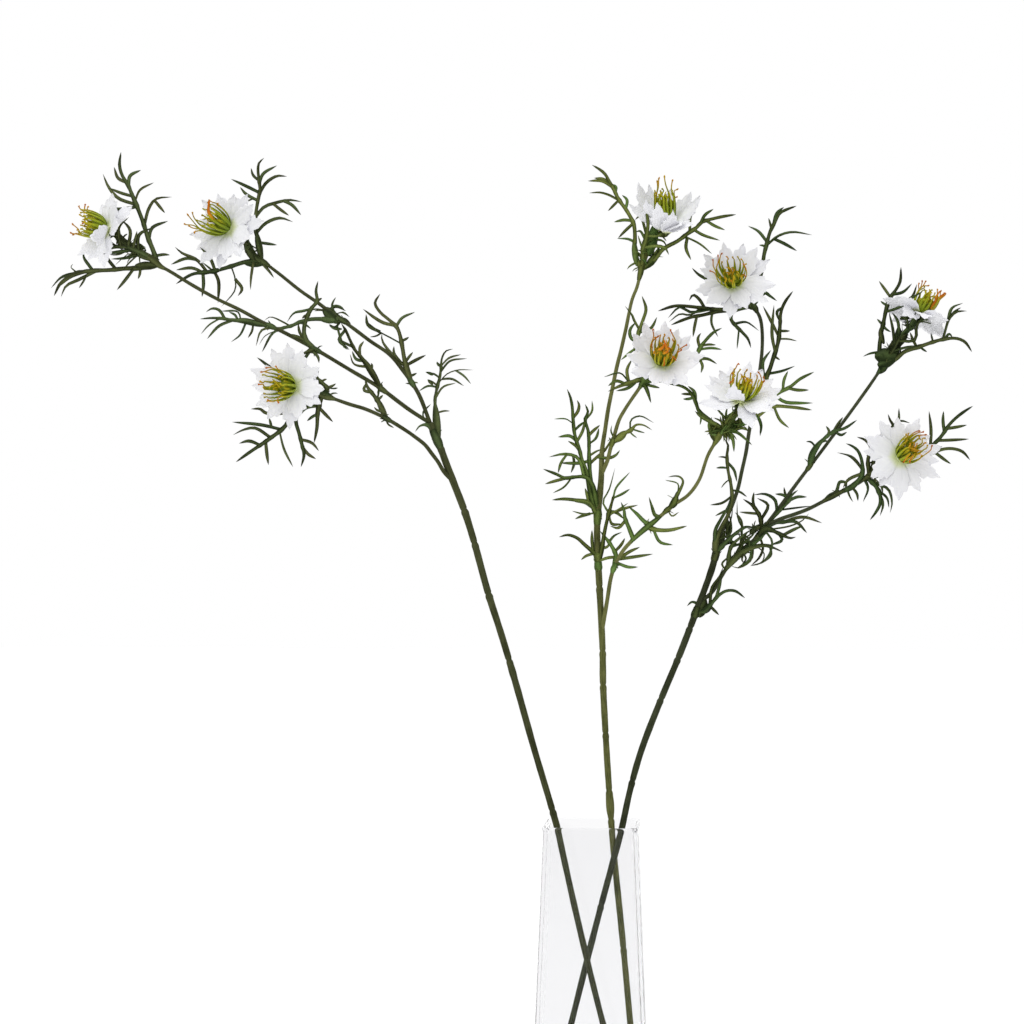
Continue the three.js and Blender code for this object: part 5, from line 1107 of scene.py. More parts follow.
def petal_aims(name, settings):
    """Where a flower's petals point, as angle round the flower, length, bend and drop.

    Each is chosen from a fan of angles, lengths and bends as the one whose tip is drawn nearest
    to the wanted tip; wide gaps that are left get a petal of their own.
    """
    flower = FLOWERS[name]
    hub, face = place(np.array(flower["hub"], float)), unit(turned(flower["face"]))
    x, y = ring_frame(face)
    usual_bend, size = BOWLS[name]
    size *= settings.length * MM_PER_METRE
    bends = usual_bend + np.linspace(-1.8, 1.8, 19)
    fan = np.meshgrid(np.radians(np.arange(0, 360, 2)), size * np.linspace(0.84, 1.12, 8), bends)
    angle, length, strength = (values.ravel() for values in fan)
    outward = np.cos(angle)[:, None] * x + np.sin(angle)[:, None] * y
    radius, rise, _ = petal_curve(length, strength, 10)
    tips = hub + radius[:, -1:] * outward + rise[:, -1:] * face
    chosen = []
    front = pairs(FRONT_TIPS.get(name, []))
    for wanted in [*front, *pairs(PETAL_TIPS[name])]:
        drop = FRONT_DROPS.get(name, 0) if len(chosen) < len(front) else 0
        seen = drawn_from(tips - drop * face)[:, :2]
        cost = np.linalg.norm(seen - wanted, axis=1) + 0.2 * np.abs(length - size)
        cost = cost + 2.2 * np.abs(strength - usual_bend)
        if len(chosen) < len(front):
            cost = cost + 60 * (outward @ AHEAD > -0.35)
        for taken, _, _, _ in chosen:
            apart = np.abs((angle - taken + math.pi) % (2 * math.pi) - math.pi)
            cost = cost + 6 * np.clip(1 - apart / math.radians(22), 0, None)
        best = np.argmin(cost)
        chosen.append((angle[best], length[best], strength[best], drop))
    while True:
        chosen.sort()
        turns = np.array([petal[0] for petal in chosen])
        gaps = np.diff(np.append(turns, turns[0] + 2 * math.pi))
        widest = np.argmax(gaps)
        if gaps[widest] < math.radians(settings.widest_gap):
            return chosen
        chosen.append(((turns[widest] + gaps[widest] / 2) % (2 * math.pi), size * 0.94, usual_bend, 0))


def petal_roll(face, outward, slope):
    """How far a petal turns on its own middle line, so that less of it is seen edge on.

    roll = 0.45 x the turn that would bring its nearer side square to the front, within limits
    """
    normal = face * math.cos(slope) - outward * math.sin(slope)
    ahead = outward * math.cos(slope) + face * math.sin(slope)
    turn = math.atan2(-AHEAD @ np.cross(ahead, normal), -AHEAD @ normal)
    if abs(turn) > math.pi / 2:
        turn -= math.copysign(math.pi, turn)
    return float(np.clip(0.45 * turn, -0.6, 0.6))


def petal(hub, face, outward, length, strength, height, settings, random):
    """One petal: a thin closed leaf of cloth, worked out over u across it and v along it, with
    the steps of u closer together towards its edges.

    half width = widest x swell(v) x (1 + teeth), where the teeth are saw waves that point to
        the tip and grow towards it
    lift = height + fold x u^2 + creases cos(k u) + flutter u^2 sin(v) + tip curl v^4, square to
        the middle line, which is turned by the petal's roll
    """
    rings, columns = settings.rings, settings.columns
    v = np.linspace(0, 1, rings)
    u = np.sin(math.pi / 2 * np.linspace(-1, 1, columns))
    radius, rise, slope = petal_curve(length, strength, rings)
    widest = settings.width * MM_PER_METRE / 2 * random.uniform(0.9, 1.1)
    swell = np.interp(v, [0, 0.12, 0.28, 0.45, 0.58, 0.7, 0.8, 0.88, 0.95, 1],
                      [0.36, 0.58, 0.88, 1, 0.95, 0.75, 0.51, 0.31, 0.14, 0.01])
    margins = []
    for _ in range(2):
        count, phase = random.uniform(3.6, 6.0), random.uniform(0, 1)
        saw = (v * count + phase) % 1
        bite = np.interp(v, [0, 0.4, 0.55, 0.72, 0.9, 1], [0.0, 0.04, 0.24, 0.5, 0.45, 0.0])
        margins.append(swell * (1 + settings.teeth * bite * (saw - 0.5)))
    left, right = margins
    half = widest * np.where(u[None, :] < 0, left[:, None], right[:, None])
    bend = random.uniform(-0.9, 0.9)
    sideways = u[None, :] * half + (bend * v ** 2)[:, None]
    fold = random.uniform(-0.7, 1.1)
    creases = sum(
        random.uniform(0.06, 0.16) * np.cos(k * math.pi * u + random.uniform(0, 6))
        for k in (1.7, 2.9, 4.3)
    )
    swing = random.uniform(0, 6)
    lift = height + fold * u ** 2 * v[:, None] ** 0.8
    lift = lift + creases[None, :] * np.sin(math.pi * v[:, None]) ** 0.6
    lift = lift + random.uniform(0.2, 0.6) * (u ** 2)[None, :] * np.sin(7.5 * v + swing)[:, None] * v[:, None]
    lift = lift + random.uniform(-1.8, 1.4) * v[:, None] ** 4
    roll = petal_roll(face, outward, slope[rings // 2]) + random.uniform(-0.08, 0.08)
    roll = roll * np.interp(v, [0, 0.35, 1], [0.1, 0.9, 1])[:, None, None]
    slope = slope[:, None, None]
    normal = face * np.cos(slope) - outward * np.sin(slope)
    beside = np.cross(face, outward) * np.cos(roll) + normal * np.sin(roll)
    normal = normal * np.cos(roll) - np.cross(face, outward) * np.sin(roll)
    middle = hub + radius[:, None, None] * outward + rise[:, None, None] * face
    middle = middle + sideways[..., None] * beside + lift[..., None] * normal
    normal = unit(np.cross(np.gradient(middle, axis=0), np.gradient(middle, axis=1)))
    thick = settings.thickness * MM_PER_METRE / 2 * np.interp(v, [0, 0.9, 1], [1, 1, 0.3])[:, None]
    thick = (thick * np.sqrt(np.clip(1 - u ** 4, 0, 1)))[..., None]
    upper, lower = middle + normal * thick, middle - normal * thick
    grid = np.concatenate([upper, lower[:, -2:0:-1]], axis=1)
    across = np.concatenate([u, u[-2:0:-1]])
    return skin(grid, v, across, random.uniform())


def petal_parts(name, settings, random):
    """A flower's petals, in two whorls by turns, round a small boss."""
    flower = FLOWERS[name]
    hub, face = place(np.array(flower["hub"], float)), unit(turned(flower["face"]))
    x, y = ring_frame(face)
    parts = []
    for i, (angle, length, strength, drop) in enumerate(petal_aims(name, settings)):
        outward = around(x, y, angle)
        height = (0.6 if i % 2 else -0.5) - drop
        parts.append(petal(hub, face, outward, length, strength, height, settings, random))
    boss = hub + face * np.linspace(-1.3, 1.5, 7)[:, None]
    radius = 4.4 * np.sin(np.linspace(0.25, math.pi - 0.2, 7)) ** 0.6
    boss_part = strand(boss, radius, radius, x, 16)
    boss_part["along"][:] = 0.05
    return [*parts, boss_part]


NUDGE = 1e-6
# Distance from the flower's axis and height of a stamen, as it bulges out and closes in.
LANTERN = np.array([[1.8, -0.5], [5.0, 1.2], [7.2, 4.4], [8.2, 8.4], [8.5, 12.4], [8.3, 16.0]])


def stamen_parts(name, settings, random):
    """A flower's stamens: a lantern of ribs that end in thin curled filaments with a small
    bead, round a ring of short anthers, a few curled styles and a seed case.

    A rib's width and colour follow `along`, from the green foot to the rust-coloured bead. A
    filament whose end isn't given stops short, at the lantern's rim.
    """
    flower = FLOWERS[name]
    opening, tall, warmth, breadth = LANTERNS[name]
    face, cup = unit(turned(flower["face"])), unit(turned(flower["cup"]))
    foot = place(np.array(flower["hub"], float)) + 1.2 * face
    x, y = ring_frame(cup)
    count, length = settings.count, settings.length * MM_PER_METRE
    wide = LANTERN[:, 0] * (1 + (opening - 1) * np.clip(LANTERN[:, 1] / LANTERN[-1, 1], 0, 1) ** 0.7)

    def at(angle, radius, height):
        """Points at an angle round the cup's axis, a distance from it and a height along it."""
        outward = np.cos(angle)[..., None] * x + np.sin(angle)[..., None] * y
        return foot + radius[..., None] * outward + height[..., None] * cup

    def away(line, nudge=0.0):
        """Unit vectors from the cup's axis out to a line; a nudge keeps them off zero."""
        arms = line - foot
        return unit(arms - (arms @ cup)[:, None] * cup + nudge)

    top = drawn_from(foot + cup * (length - 2))
    tips = [place([*tip, top[2] + random.uniform(-3, 3)]) for tip in pairs(FILAMENT_TIPS[name])]
    turns = [math.atan2((tip - foot) @ y, (tip - foot) @ x) % (2 * math.pi) for tip in tips]
    reach = [1.0] * len(tips)
    free = 2 * math.pi * (np.arange(count) + random.uniform(-0.25, 0.25, count)) / count
    apart = np.abs((free[:, None] - np.array(turns) + math.pi) % (2 * math.pi) - math.pi)
    for angle in free[np.argsort(-apart.min(1))[:max(count - len(tips), 0)]]:
        height = LANTERN[-1, 1] * tall + random.uniform(1, 5)
        tips.append(at(np.array(angle), np.array(wide[-1] * random.uniform(0.85, 1.1)), np.array(height)))
        turns.append(angle)
        reach.append(random.uniform(0.68, 0.82))
    share = np.linspace(0, 1, settings.rings)
    half = np.interp(share, [0, 0.15, 0.35, 0.5, 0.62, 0.72, 0.93, 0.965, 1],
                     [0.9, 1.25, 1.3, 1.05, 0.8, 0.62, 0.54, 0.85, 0.3])
    depth = np.interp(share, [0, 0.5, 0.68, 0.93, 0.965, 1], [0.45, 0.45, 0.44, 0.4, 0.7, 0.25])
    half[share < 0.5] *= 1 + (breadth - 1) * np.sin(2 * math.pi * share[share < 0.5])
    size = settings.rib_width * MM_PER_METRE / 2
    parts = []
    for tip, angle, colour_reach in zip(tips, turns, reach):
        sway = angle + random.uniform(-0.1, 0.1)
        ribs = at(np.full(len(LANTERN), sway), wide * random.uniform(0.93, 1.05), LANTERN[:, 1] * tall)
        knee = 0.5 * (ribs[-1] + tip) + random.normal(0, 0.8, 3)
        hook = 0.15 * (knee - tip) + random.normal(0, 0.5, 3)
        line = smooth_line(np.vstack([ribs, knee, tip + hook, tip]), settings.rings)
        rib = strand(line, half * size, depth, away(line), 8, 0, random.uniform())
        rib["along"] = rib["along"] * colour_reach + warmth
        parts.append(rib)
    for x0, y0, x1, y1, width in BOLD_STYLES.get(name, []):
        back = top[2] - settings.bold_ahead * MM_PER_METRE
        ends = place([[x0, y0, back], [x1, y1, back]])
        line = smooth_line(np.vstack([ends[0], ends.mean(0) + random.normal(0, 0.8, 3), ends[1]]), 16)
        radius = np.interp(np.linspace(0, 1, 16), [0, 0.1, 0.5, 0.8, 0.93, 1], [0.3, 0.8, 1, 0.6, 0.8, 0.3])
        radius *= width / 2
        bold = strand(line, radius, radius * 0.5, -AHEAD, 10, 0, 0.5)
        bold["along"] = 0.88 + 0.12 * bold["along"]
        parts.append(bold)
    for i in range(settings.anthers):
        angle = ring_angle(i, settings.anthers, 0.4, random)
        height = random.uniform(10, 16) * tall
        radii = np.array([1.2, 4.4, 5.6, random.uniform(4, 7)])
        heights = np.array([0, 0.35, 0.75, 1]) * height
        line = smooth_line(at(np.full(4, angle), radii, heights), 12)
        radius = np.interp(np.linspace(0, 1, 12), [0, 0.62, 0.74, 0.93, 1], [0.4, 0.4, 1.1, 0.95, 0.1])
        anther = strand(line, radius, radius * 0.75, away(line, NUDGE), 8, 0, random.uniform())
        anther["along"] = 0.42 + 0.2 * anther["along"] + warmth
        parts.append(anther)
    for i in range(settings.styles):
        angle = ring_angle(i, settings.styles, 0.3, random)
        radii = np.array([1.0, 1.6, random.uniform(1.5, 4.0), random.uniform(2, 6)])
        heights = np.array([7, 12, 15, random.uniform(15, 19)]) * tall
        line = smooth_line(at(angle + np.array([0, 0.3, 0.8, 1.6]), radii, heights), 16)
        radius = np.interp(np.linspace(0, 1, 16), [0, 0.9, 1], [0.75, 0.5, 0.1])
        style = strand(line, radius, radius, away(line, NUDGE), 8, 0, random.uniform())
        style["along"] = 0.58 + 0.2 * style["along"] + warmth
        parts.append(style)
    case = foot + cup * np.linspace(-1, 11 * tall, 14)[:, None]
    radius = np.interp(np.linspace(0, 1, 14), [0, 0.15, 0.45, 0.8, 1], [1.4, 3.8, 5.2, 4.0, 0.6])
    seed_case = strand(case, radius, radius, x, 20)
    seed_case["along"] = 0.02 + 0.2 * seed_case["along"]
    return [*parts, seed_case]


# ---- The vase ----

# The radius of the bend from the inside of the wall to the floor, in mm.
FLOOR_BEND = 4.0
# The rings on the foot and on the floor, as shares of their half width.
FLAT_RINGS = np.linspace(0.15, 0.97, 6)
PER_CORNER, PER_SIDE = 9, 6  # points of a ring in a corner, and on a side between two

def rounded_square(half, corner, per_corner, per_side):
    """The outline of a square with rounded corners, anticlockwise: four quarter circles with
    the points of a side evenly between them."""
    arc = np.linspace(0, math.pi / 2, per_corner)
    rows = []
    for k in range(4):
        turn = k * math.pi / 2
        centre = (half - corner) * np.array(
            [math.cos(turn) - math.sin(turn), math.sin(turn) + math.cos(turn)]
        )
        curve = centre + corner * np.column_stack([np.cos(turn + arc), np.sin(turn + arc)])
        after = (half - corner) * np.array(
            [-math.sin(turn) - math.cos(turn), math.cos(turn) - math.sin(turn)]
        ) + corner * np.array([-math.sin(turn), math.cos(turn)])
        side = curve[-1] + (after - curve[-1]) * np.linspace(0, 1, per_side + 2)[1:-1, None]
        rows += [curve, side]
    return np.vstack(rows)


def vase_parts(settings):
    """The vase: one closed surface that runs from the middle of the foot up the outside, over
    the rounded rim, down the inside and over the floor.

    half width at a height = foot half width, less the taper; the lip flares as the square of
    the height above its start; the rim is half a circle across the wall.
    """
    mm = MM_PER_METRE
    height, foot, rim = settings.height * mm, settings.foot * mm, settings.rim * mm
    wall, floor, corner = settings.wall * mm, settings.floor * mm, settings.corner * mm
    lip, lip_height, chamfer = settings.lip * mm, settings.lip_height * mm, settings.chamfer * mm

    def outer(z):
        """Half the outer width at a height."""
        flare = lip * (np.clip(z - height + lip_height, 0, None) / lip_height) ** 2
        return (foot + (rim - foot) * z / height) / 2 + flare

    edge = np.linspace(0, math.pi / 2, 6)
    rim_turn = np.linspace(0, math.pi, 13)[1:-1]
    fillet = np.linspace(0, math.pi / 2, 8)
    sides = np.linspace(chamfer, height - lip_height, 26)[1:]
    lips = np.linspace(height - lip_height, height - wall / 2, 6)[1:]
    top, bend = height - wall / 2, FLOOR_BEND
    levels = [[0, r] for r in FLAT_RINGS * (outer(0) - chamfer)]
    levels += [[chamfer * (1 - math.cos(a)), outer(0) - chamfer * (1 - math.sin(a))] for a in edge]
    levels += [[z, outer(z)] for z in np.concatenate([sides, lips])]
    levels += [
        [top + wall / 2 * math.sin(a), outer(top) - wall / 2 * (1 - math.cos(a))] for a in rim_turn
    ]
    rim_middle = len(levels) - len(rim_turn) // 2
    down = np.concatenate([lips[::-1], sides[::-1][:-1]])
    levels += [[z, outer(z) - wall] for z in down if z > floor + bend]
    inner = outer(floor + bend) - wall
    levels += [[floor + bend * (1 - math.sin(a)), inner - bend * (1 - math.cos(a))] for a in fillet]
    levels += [[floor, r] for r in FLAT_RINGS[::-1] * (inner - bend)]
    rings = []
    for z, half in levels:
        rounding = np.clip(corner - outer(z) + half, 0.12 * half, 0.9 * half)
        outline = rounded_square(half, rounding, PER_CORNER, PER_SIDE)
        rings.append(np.column_stack([outline, np.full(len(outline), z)]))
    inside = np.arange(len(rings)) >= rim_middle
    part = skin(np.array(rings), np.linspace(0, 1, len(rings)), 0, inside)
    part["quads"], part["fans"] = part["quads"][:, ::-1], part["fans"][:, ::-1]
    return [part]


# ---- Finishes ----


def shade(red, green, blue):
    """A colour given as 0 to 255 on screen, as the linear values that shaders use."""
    screen = np.array([red, green, blue]) / 255
    linear = np.where(screen <= 0.04045, screen / 12.92, ((screen + 0.055) / 1.055) ** 2.4)
    return tuple(linear.tolist())


def add_node(tree, kind, sockets=None, **options):
    """A node, with its options and the values of its sockets set."""
    node = tree.nodes.new(kind)
    for key, value in options.items():
        setattr(node, key, value)
    for key, value in (sockets or {}).items():
        node.inputs[key].default_value = value
    return node


def shape_values(tree, source, low, high):
    """A value eased from 0 at `low` to 1 at `high`."""
    node = add_node(
        tree, "ShaderNodeMapRange", {"From Min": low, "From Max": high}, interpolation_type="SMOOTHSTEP"
    )
    tree.links.new(source, node.inputs["Value"])
    return node.outputs["Result"]


def calculate(tree, operation, *values):
    """A Math node on values, each of them a socket or a number."""
    node = add_node(tree, "ShaderNodeMath", operation=operation)
    for i, value in enumerate(values):
        if isinstance(value, (int, float)):
            node.inputs[i].default_value = value
        else:
            tree.links.new(value, node.inputs[i])
    return node.outputs[0]


def scaled(tree, value, by, plus):
    """value x by + plus, where plus is a socket or a number."""
    return calculate(tree, "ADD", plus, calculate(tree, "MULTIPLY", value, by))


def blend_colours(tree, share, first, second):
    """A colour between two, each of them a socket."""
    node = add_node(tree, "ShaderNodeMix", data_type="RGBA", clamp_factor=True)
    for value, key in ((share, "Factor_Float"), (first, "A_Color"), (second, "B_Color")):
        socket = next(s for s in node.inputs if s.identifier == key)
        tree.links.new(value, socket)
    return next(s for s in node.outputs if s.identifier == "Result_Color")


def attribute(tree, name):
    """The value of a piece's own attribute."""
    return add_node(tree, "ShaderNodeAttribute", attribute_name=name).outputs["Fac"]


# How far apart the patterns of two strands lie.
STRANDS_APART = 37.0


def along_strand(tree, across_scale, along_scale):
    """A vector that follows a strand: across it, along it, and different for each strand."""
    vector = add_node(tree, "ShaderNodeCombineXYZ")
    for key, scale, socket in (("across", across_scale, 0), ("along", along_scale, 1), ("tone", STRANDS_APART, 2)):
        tree.links.new(calculate(tree, "MULTIPLY", attribute(tree, key), scale), vector.inputs[socket])
    return vector.outputs[0]


def new_group(name, inputs, outputs):
    """An empty shader node group with named inputs and outputs."""
    tree = bpy.data.node_groups.new(name, "ShaderNodeTree")
    for label, kind, value in inputs:
        tree.interface.new_socket(label, in_out="INPUT", socket_type=kind).default_value = value
    for label, kind in outputs:
        tree.interface.new_socket(label, in_out="OUTPUT", socket_type=kind)
    return tree, tree.nodes.new("NodeGroupInput").outputs, tree.nodes.new("NodeGroupOutput").inputs


COLOUR, NUMBER = "NodeSocketColor", "NodeSocketFloat"
GREY = (0.5, 0.5, 0.5, 1)


def look_group(name, *colours):
    """A group that takes some colours and a mottle, and gives colour, roughness and height."""
    inputs = [(colour, COLOUR, GREY) for colour in colours] + [("Mottle", NUMBER, 0.5)]
    return new_group(name, inputs, [("Color", COLOUR), ("Roughness", NUMBER), ("Height", NUMBER)])


def mottle_group():
    """Soft mottling in the object's own space, and a finer grain for the bump."""
    inputs = [("Scale", NUMBER, 60.0), ("Contrast", NUMBER, 1.0)]
    tree, given, out = new_group("mottle", inputs, [("Mottle", NUMBER), ("Height", NUMBER)])
    place_of = add_node(tree, "ShaderNodeTexCoord").outputs["Object"]
    cloud = add_node(tree, "ShaderNodeTexNoise", {"Detail": 4.0, "Roughness": 0.6})
    grain = add_node(tree, "ShaderNodeTexNoise", {"Detail": 2.0, "Roughness": 0.5})
    tree.links.new(place_of, cloud.inputs["Vector"])
    tree.links.new(place_of, grain.inputs["Vector"])
    tree.links.new(given["Scale"], cloud.inputs["Scale"])
    tree.links.new(calculate(tree, "MULTIPLY", given["Scale"], 9.0), grain.inputs["Scale"])
    centred = calculate(tree, "SUBTRACT", cloud.outputs["Fac"], 0.5)
    spread = calculate(tree, "MULTIPLY", centred, given["Contrast"])
    tree.links.new(scaled(tree, spread, 2.4, 0.5), out["Mottle"])
    tree.links.new(grain.outputs["Fac"], out["Height"])
    return tree


def foliage_group():
    """Moulded leaves: a painted highlight down the middle and painted shade on the edges, points that
    turn towards the tip colour, and a hue of its own on each strand, from olive to fresh green."""
    tree, given, out = look_group("foliage", "Dark", "Light", "Tip")
    aside = calculate(tree, "ABSOLUTE", attribute(tree, "across"))
    # Painted highlight and painted shade: the middle of a blade is painted paler and its edges darker, as light
    # falls on a rounded blade; the same mask raises the middle as a bump.
    ridge_bump_and_painted_highlight = calculate(tree, "SUBTRACT", 1.0, shape_values(tree, aside, 0.1, 0.75))
    tone = calculate(tree, "MULTIPLY", attribute(tree, "tone"), 0.45)
    share = scaled(tree, ridge_bump_and_painted_highlight, 0.4, tone)
    share = scaled(tree, given["Mottle"], 0.45, share)
    share = calculate(tree, "SUBTRACT", share, 0.25)
    colour = blend_colours(tree, share, given["Dark"], given["Light"])
    tip = calculate(tree, "MULTIPLY", shape_values(tree, attribute(tree, "along"), 0.72, 1.0), 0.7)
    hue = add_node(tree, "ShaderNodeHueSaturation")
    own = calculate(tree, "FRACT", calculate(tree, "MULTIPLY", attribute(tree, "tone"), 7.3))
    tree.links.new(scaled(tree, own, 0.066, 0.467), hue.inputs["Hue"])
    tree.links.new(blend_colours(tree, tip, colour, given["Tip"]), hue.inputs["Color"])
    tree.links.new(hue.outputs["Color"], out["Color"])
    tree.links.new(scaled(tree, given["Mottle"], 0.2, 0.5), out["Roughness"])
    veins = add_node(tree, "ShaderNodeTexNoise", {"Scale": 3.0, "Detail": 2.0})
    tree.links.new(along_strand(tree, 2.2, 3.0), veins.inputs["Vector"])
    tree.links.new(scaled(tree, ridge_bump_and_painted_highlight, 0.8, veins.outputs["Fac"]), out["Height"])
    return tree


def tape_group():
    """Tape round a wire stem: streaks that run along it and scattered darker flecks, paler
    where a stem's tone is above a half."""
    tree, given, out = look_group("tape", "Dark", "Light")
    streaks = add_node(tree, "ShaderNodeTexNoise", {"Scale": 1.0, "Detail": 5.0, "Roughness": 0.65})
    tree.links.new(along_strand(tree, 3.2, 9.0), streaks.inputs["Vector"])
    share = calculate(tree, "MULTIPLY", calculate(tree, "SUBTRACT", streaks.outputs["Fac"], 0.32), 1.7)
    share = scaled(tree, given["Mottle"], 0.5, share)
    share = calculate(tree, "ADD", calculate(tree, "SUBTRACT", share, 0.75), attribute(tree, "tone"))
    tree.links.new(blend_colours(tree, share, given["Dark"], given["Light"]), out["Color"])
    tree.links.new(scaled(tree, share, -0.2, 0.72), out["Roughness"])
    tree.links.new(streaks.outputs["Fac"], out["Height"])
    return tree


def cloth_group():
    """Pressed cloth petals: a fine weave, creases that fan out from the root, painted grey shade in
    the hollows of the creases, and a yellow-green heart."""
    tree, given, out = look_group("petal_cloth", "White", "Shadow", "Heart")
    creases = add_node(tree, "ShaderNodeTexNoise", {"Scale": 1.0, "Detail": 3.0, "Roughness": 0.55})
    tree.links.new(along_strand(tree, 3.6, 2.2), creases.inputs["Vector"])
    # Painted shade: where the crease noise dips, the same noise that sinks the bump, the white is blended towards
    # the shadow grey.
    shadow = calculate(tree, "MULTIPLY", calculate(tree, "SUBTRACT", 0.62, creases.outputs["Fac"]), 1.3)
    shadow = scaled(tree, given["Mottle"], 0.25, shadow)
    colour = blend_colours(tree, calculate(tree, "MULTIPLY", shadow, 0.55), given["White"], given["Shadow"])
    root = calculate(tree, "SUBTRACT", 1.0, shape_values(tree, attribute(tree, "along"), 0.03, 0.26))
    root = calculate(tree, "MULTIPLY", root, 0.75)
    tree.links.new(blend_colours(tree, root, colour, given["Heart"]), out["Color"])
    tree.links.new(scaled(tree, given["Mottle"], 0.12, 0.78), out["Roughness"])
    warp = calculate(tree, "SINE", calculate(tree, "MULTIPLY", attribute(tree, "across"), 120.0))
    weft = calculate(tree, "SINE", calculate(tree, "MULTIPLY", attribute(tree, "along"), 420.0))
    weave = calculate(tree, "MULTIPLY", calculate(tree, "MULTIPLY", warp, weft), 0.006)
    tree.links.new(calculate(tree, "ADD", creases.outputs["Fac"], weave), out["Height"])
    return tree


def stamen_group(colours):
    """Stamens: green at the foot, then golden, orange and rust, with painted shade that darkens the sides of a rib
    towards the groove colour.
    """
    tree, given, out = look_group("stamen_colours", "Groove")
    place_on = scaled(tree, attribute(tree, "tone"), 0.1, attribute(tree, "along"))
    place_on = scaled(tree, given["Mottle"], 0.12, place_on)
    place_on = calculate(tree, "SUBTRACT", place_on, 0.1)
    ramp = add_node(tree, "ShaderNodeValToRGB")
    stops = ramp.color_ramp.elements
    while len(stops) < len(colours):
        stops.new(0.5)
    for stop, (where, colour) in zip(stops, colours):
        stop.position, stop.color = where, (*colour, 1)
    tree.links.new(place_on, ramp.inputs["Fac"])
    # Painted shade: the sides of each rib are blended halfway to the dark groove colour, as if they turned away
    # from the light.
    aside = shape_values(tree, calculate(tree, "ABSOLUTE", attribute(tree, "across")), 0.45, 1.0)
    side = calculate(tree, "MULTIPLY", aside, 0.5)
    tree.links.new(blend_colours(tree, side, ramp.outputs["Color"], given["Groove"]), out["Color"])
    tree.links.new(scaled(tree, given["Mottle"], 0.2, 0.42), out["Roughness"])
    tree.links.new(given["Mottle"], out["Height"])
    return tree


def finish(name, group_name, colours, scale, bump_distance, specular, contrast=1.0):
    """A material: mottling and one of the groups above, on a shader of its own."""
    found = bpy.data.materials.get(name)
    if found:
        return found
    material = bpy.data.materials.new(name)
    material.use_nodes = True
    tree = material.node_tree
    tree.nodes.clear()
    shader = add_node(tree, "ShaderNodeBsdfPrincipled", {"Specular IOR Level": specular})
    output = add_node(tree, "ShaderNodeOutputMaterial")
    tree.links.new(shader.outputs["BSDF"], output.inputs["Surface"])
    mottle = add_node(tree, "ShaderNodeGroup", node_tree=bpy.data.node_groups["mottle"])
    mottle.inputs["Scale"].default_value = scale
    mottle.inputs["Contrast"].default_value = contrast
    look = add_node(tree, "ShaderNodeGroup", node_tree=bpy.data.node_groups[group_name])
    for key, colour in colours.items():
        look.inputs[key].default_value = (*colour, 1)
    tree.links.new(mottle.outputs["Mottle"], look.inputs["Mottle"])
    tree.links.new(look.outputs["Color"], shader.inputs["Base Color"])
    tree.links.new(look.outputs["Roughness"], shader.inputs["Roughness"])
    fine = add_node(tree, "ShaderNodeBump", {"Strength": 0.35, "Distance": bump_distance / 3})
    broad = add_node(tree, "ShaderNodeBump", {"Strength": 0.6, "Distance": bump_distance})
    tree.links.new(mottle.outputs["Height"], fine.inputs["Height"])
    tree.links.new(look.outputs["Height"], broad.inputs["Height"])
    tree.links.new(fine.outputs["Normal"], broad.inputs["Normal"])
    tree.links.new(broad.outputs["Normal"], shader.inputs["Normal"])
    return material


# The glass's own sockets. It bends light less than real glass, whose index is about 1.5.
GLASS = {
    "Roughness": 0.0, "IOR": 1.075, "Transmission Weight": 1.0, "Coat Weight": 0.25,
    "Coat Roughness": 0.0,
}


def glass_finish(settings):
    """Clear glass with a faint grey tint and a slow ripple.

    The whole tint of a wall lies on its outer face, whose tone is 0, and the inner face, whose
    tone is 1, is clear. Light goes straight through to what stands in the glass and under it.
    """
    material = bpy.data.materials.new("clear_glass")
    material.use_nodes = True
    tree = material.node_tree
    shader = tree.nodes["Principled BSDF"]
    tinted = add_node(tree, "ShaderNodeValToRGB")
    outside, inside = tinted.color_ramp.elements
    outside.color, inside.color = (*[value ** 2 for value in settings.tint], 1), (1, 1, 1, 1)
    tree.links.new(attribute(tree, "tone"), tinted.inputs["Fac"])
    tree.links.new(tinted.outputs["Color"], shader.inputs["Base Color"])
    for key, value in GLASS.items():
        shader.inputs[key].default_value = value
    ripple = add_node(tree, "ShaderNodeGroup", node_tree=bpy.data.node_groups["mottle"])
    ripple.inputs["Scale"].default_value = settings.ripple_scale
    bump = add_node(tree, "ShaderNodeBump", {"Strength": 0.1, "Distance": 0.0006})
    tree.links.new(ripple.outputs["Mottle"], bump.inputs["Height"])
    tree.links.new(bump.outputs["Normal"], shader.inputs["Normal"])
    path = add_node(tree, "ShaderNodeLightPath")
    lets_light = calculate(tree, "MAXIMUM", path.outputs["Is Shadow Ray"], path.outputs["Is Diffuse Ray"])
    clear = add_node(tree, "ShaderNodeBsdfTransparent", {"Color": (*settings.tint, 1)})
    mixed = add_node(tree, "ShaderNodeMixShader")
    tree.links.new(lets_light, mixed.inputs["Fac"])
    tree.links.new(shader.outputs["BSDF"], mixed.inputs[1])
    tree.links.new(clear.outputs["BSDF"], mixed.inputs[2])
    tree.links.new(mixed.outputs["Shader"], tree.nodes["Material Output"].inputs["Surface"])
    return material


def spray_colours(spray, settings):
    """A spray's dark and light colour, which settings hold for each spray."""
    return {key: getattr(settings, f"{spray}_{key.lower()}") for key in ("Dark", "Light")}


def leaf_finish(spray, settings):
    """The finish of one spray's leaves, whose points are a little over half as bright as its
    dark colour."""
    colours = spray_colours(spray, settings)
    colours["Tip"] = [0.55 * value for value in colours["Dark"]]
    return finish(f"{spray}_foliage", "foliage", colours, 90.0, 0.0004, 0.06)


# ---- Settings ----


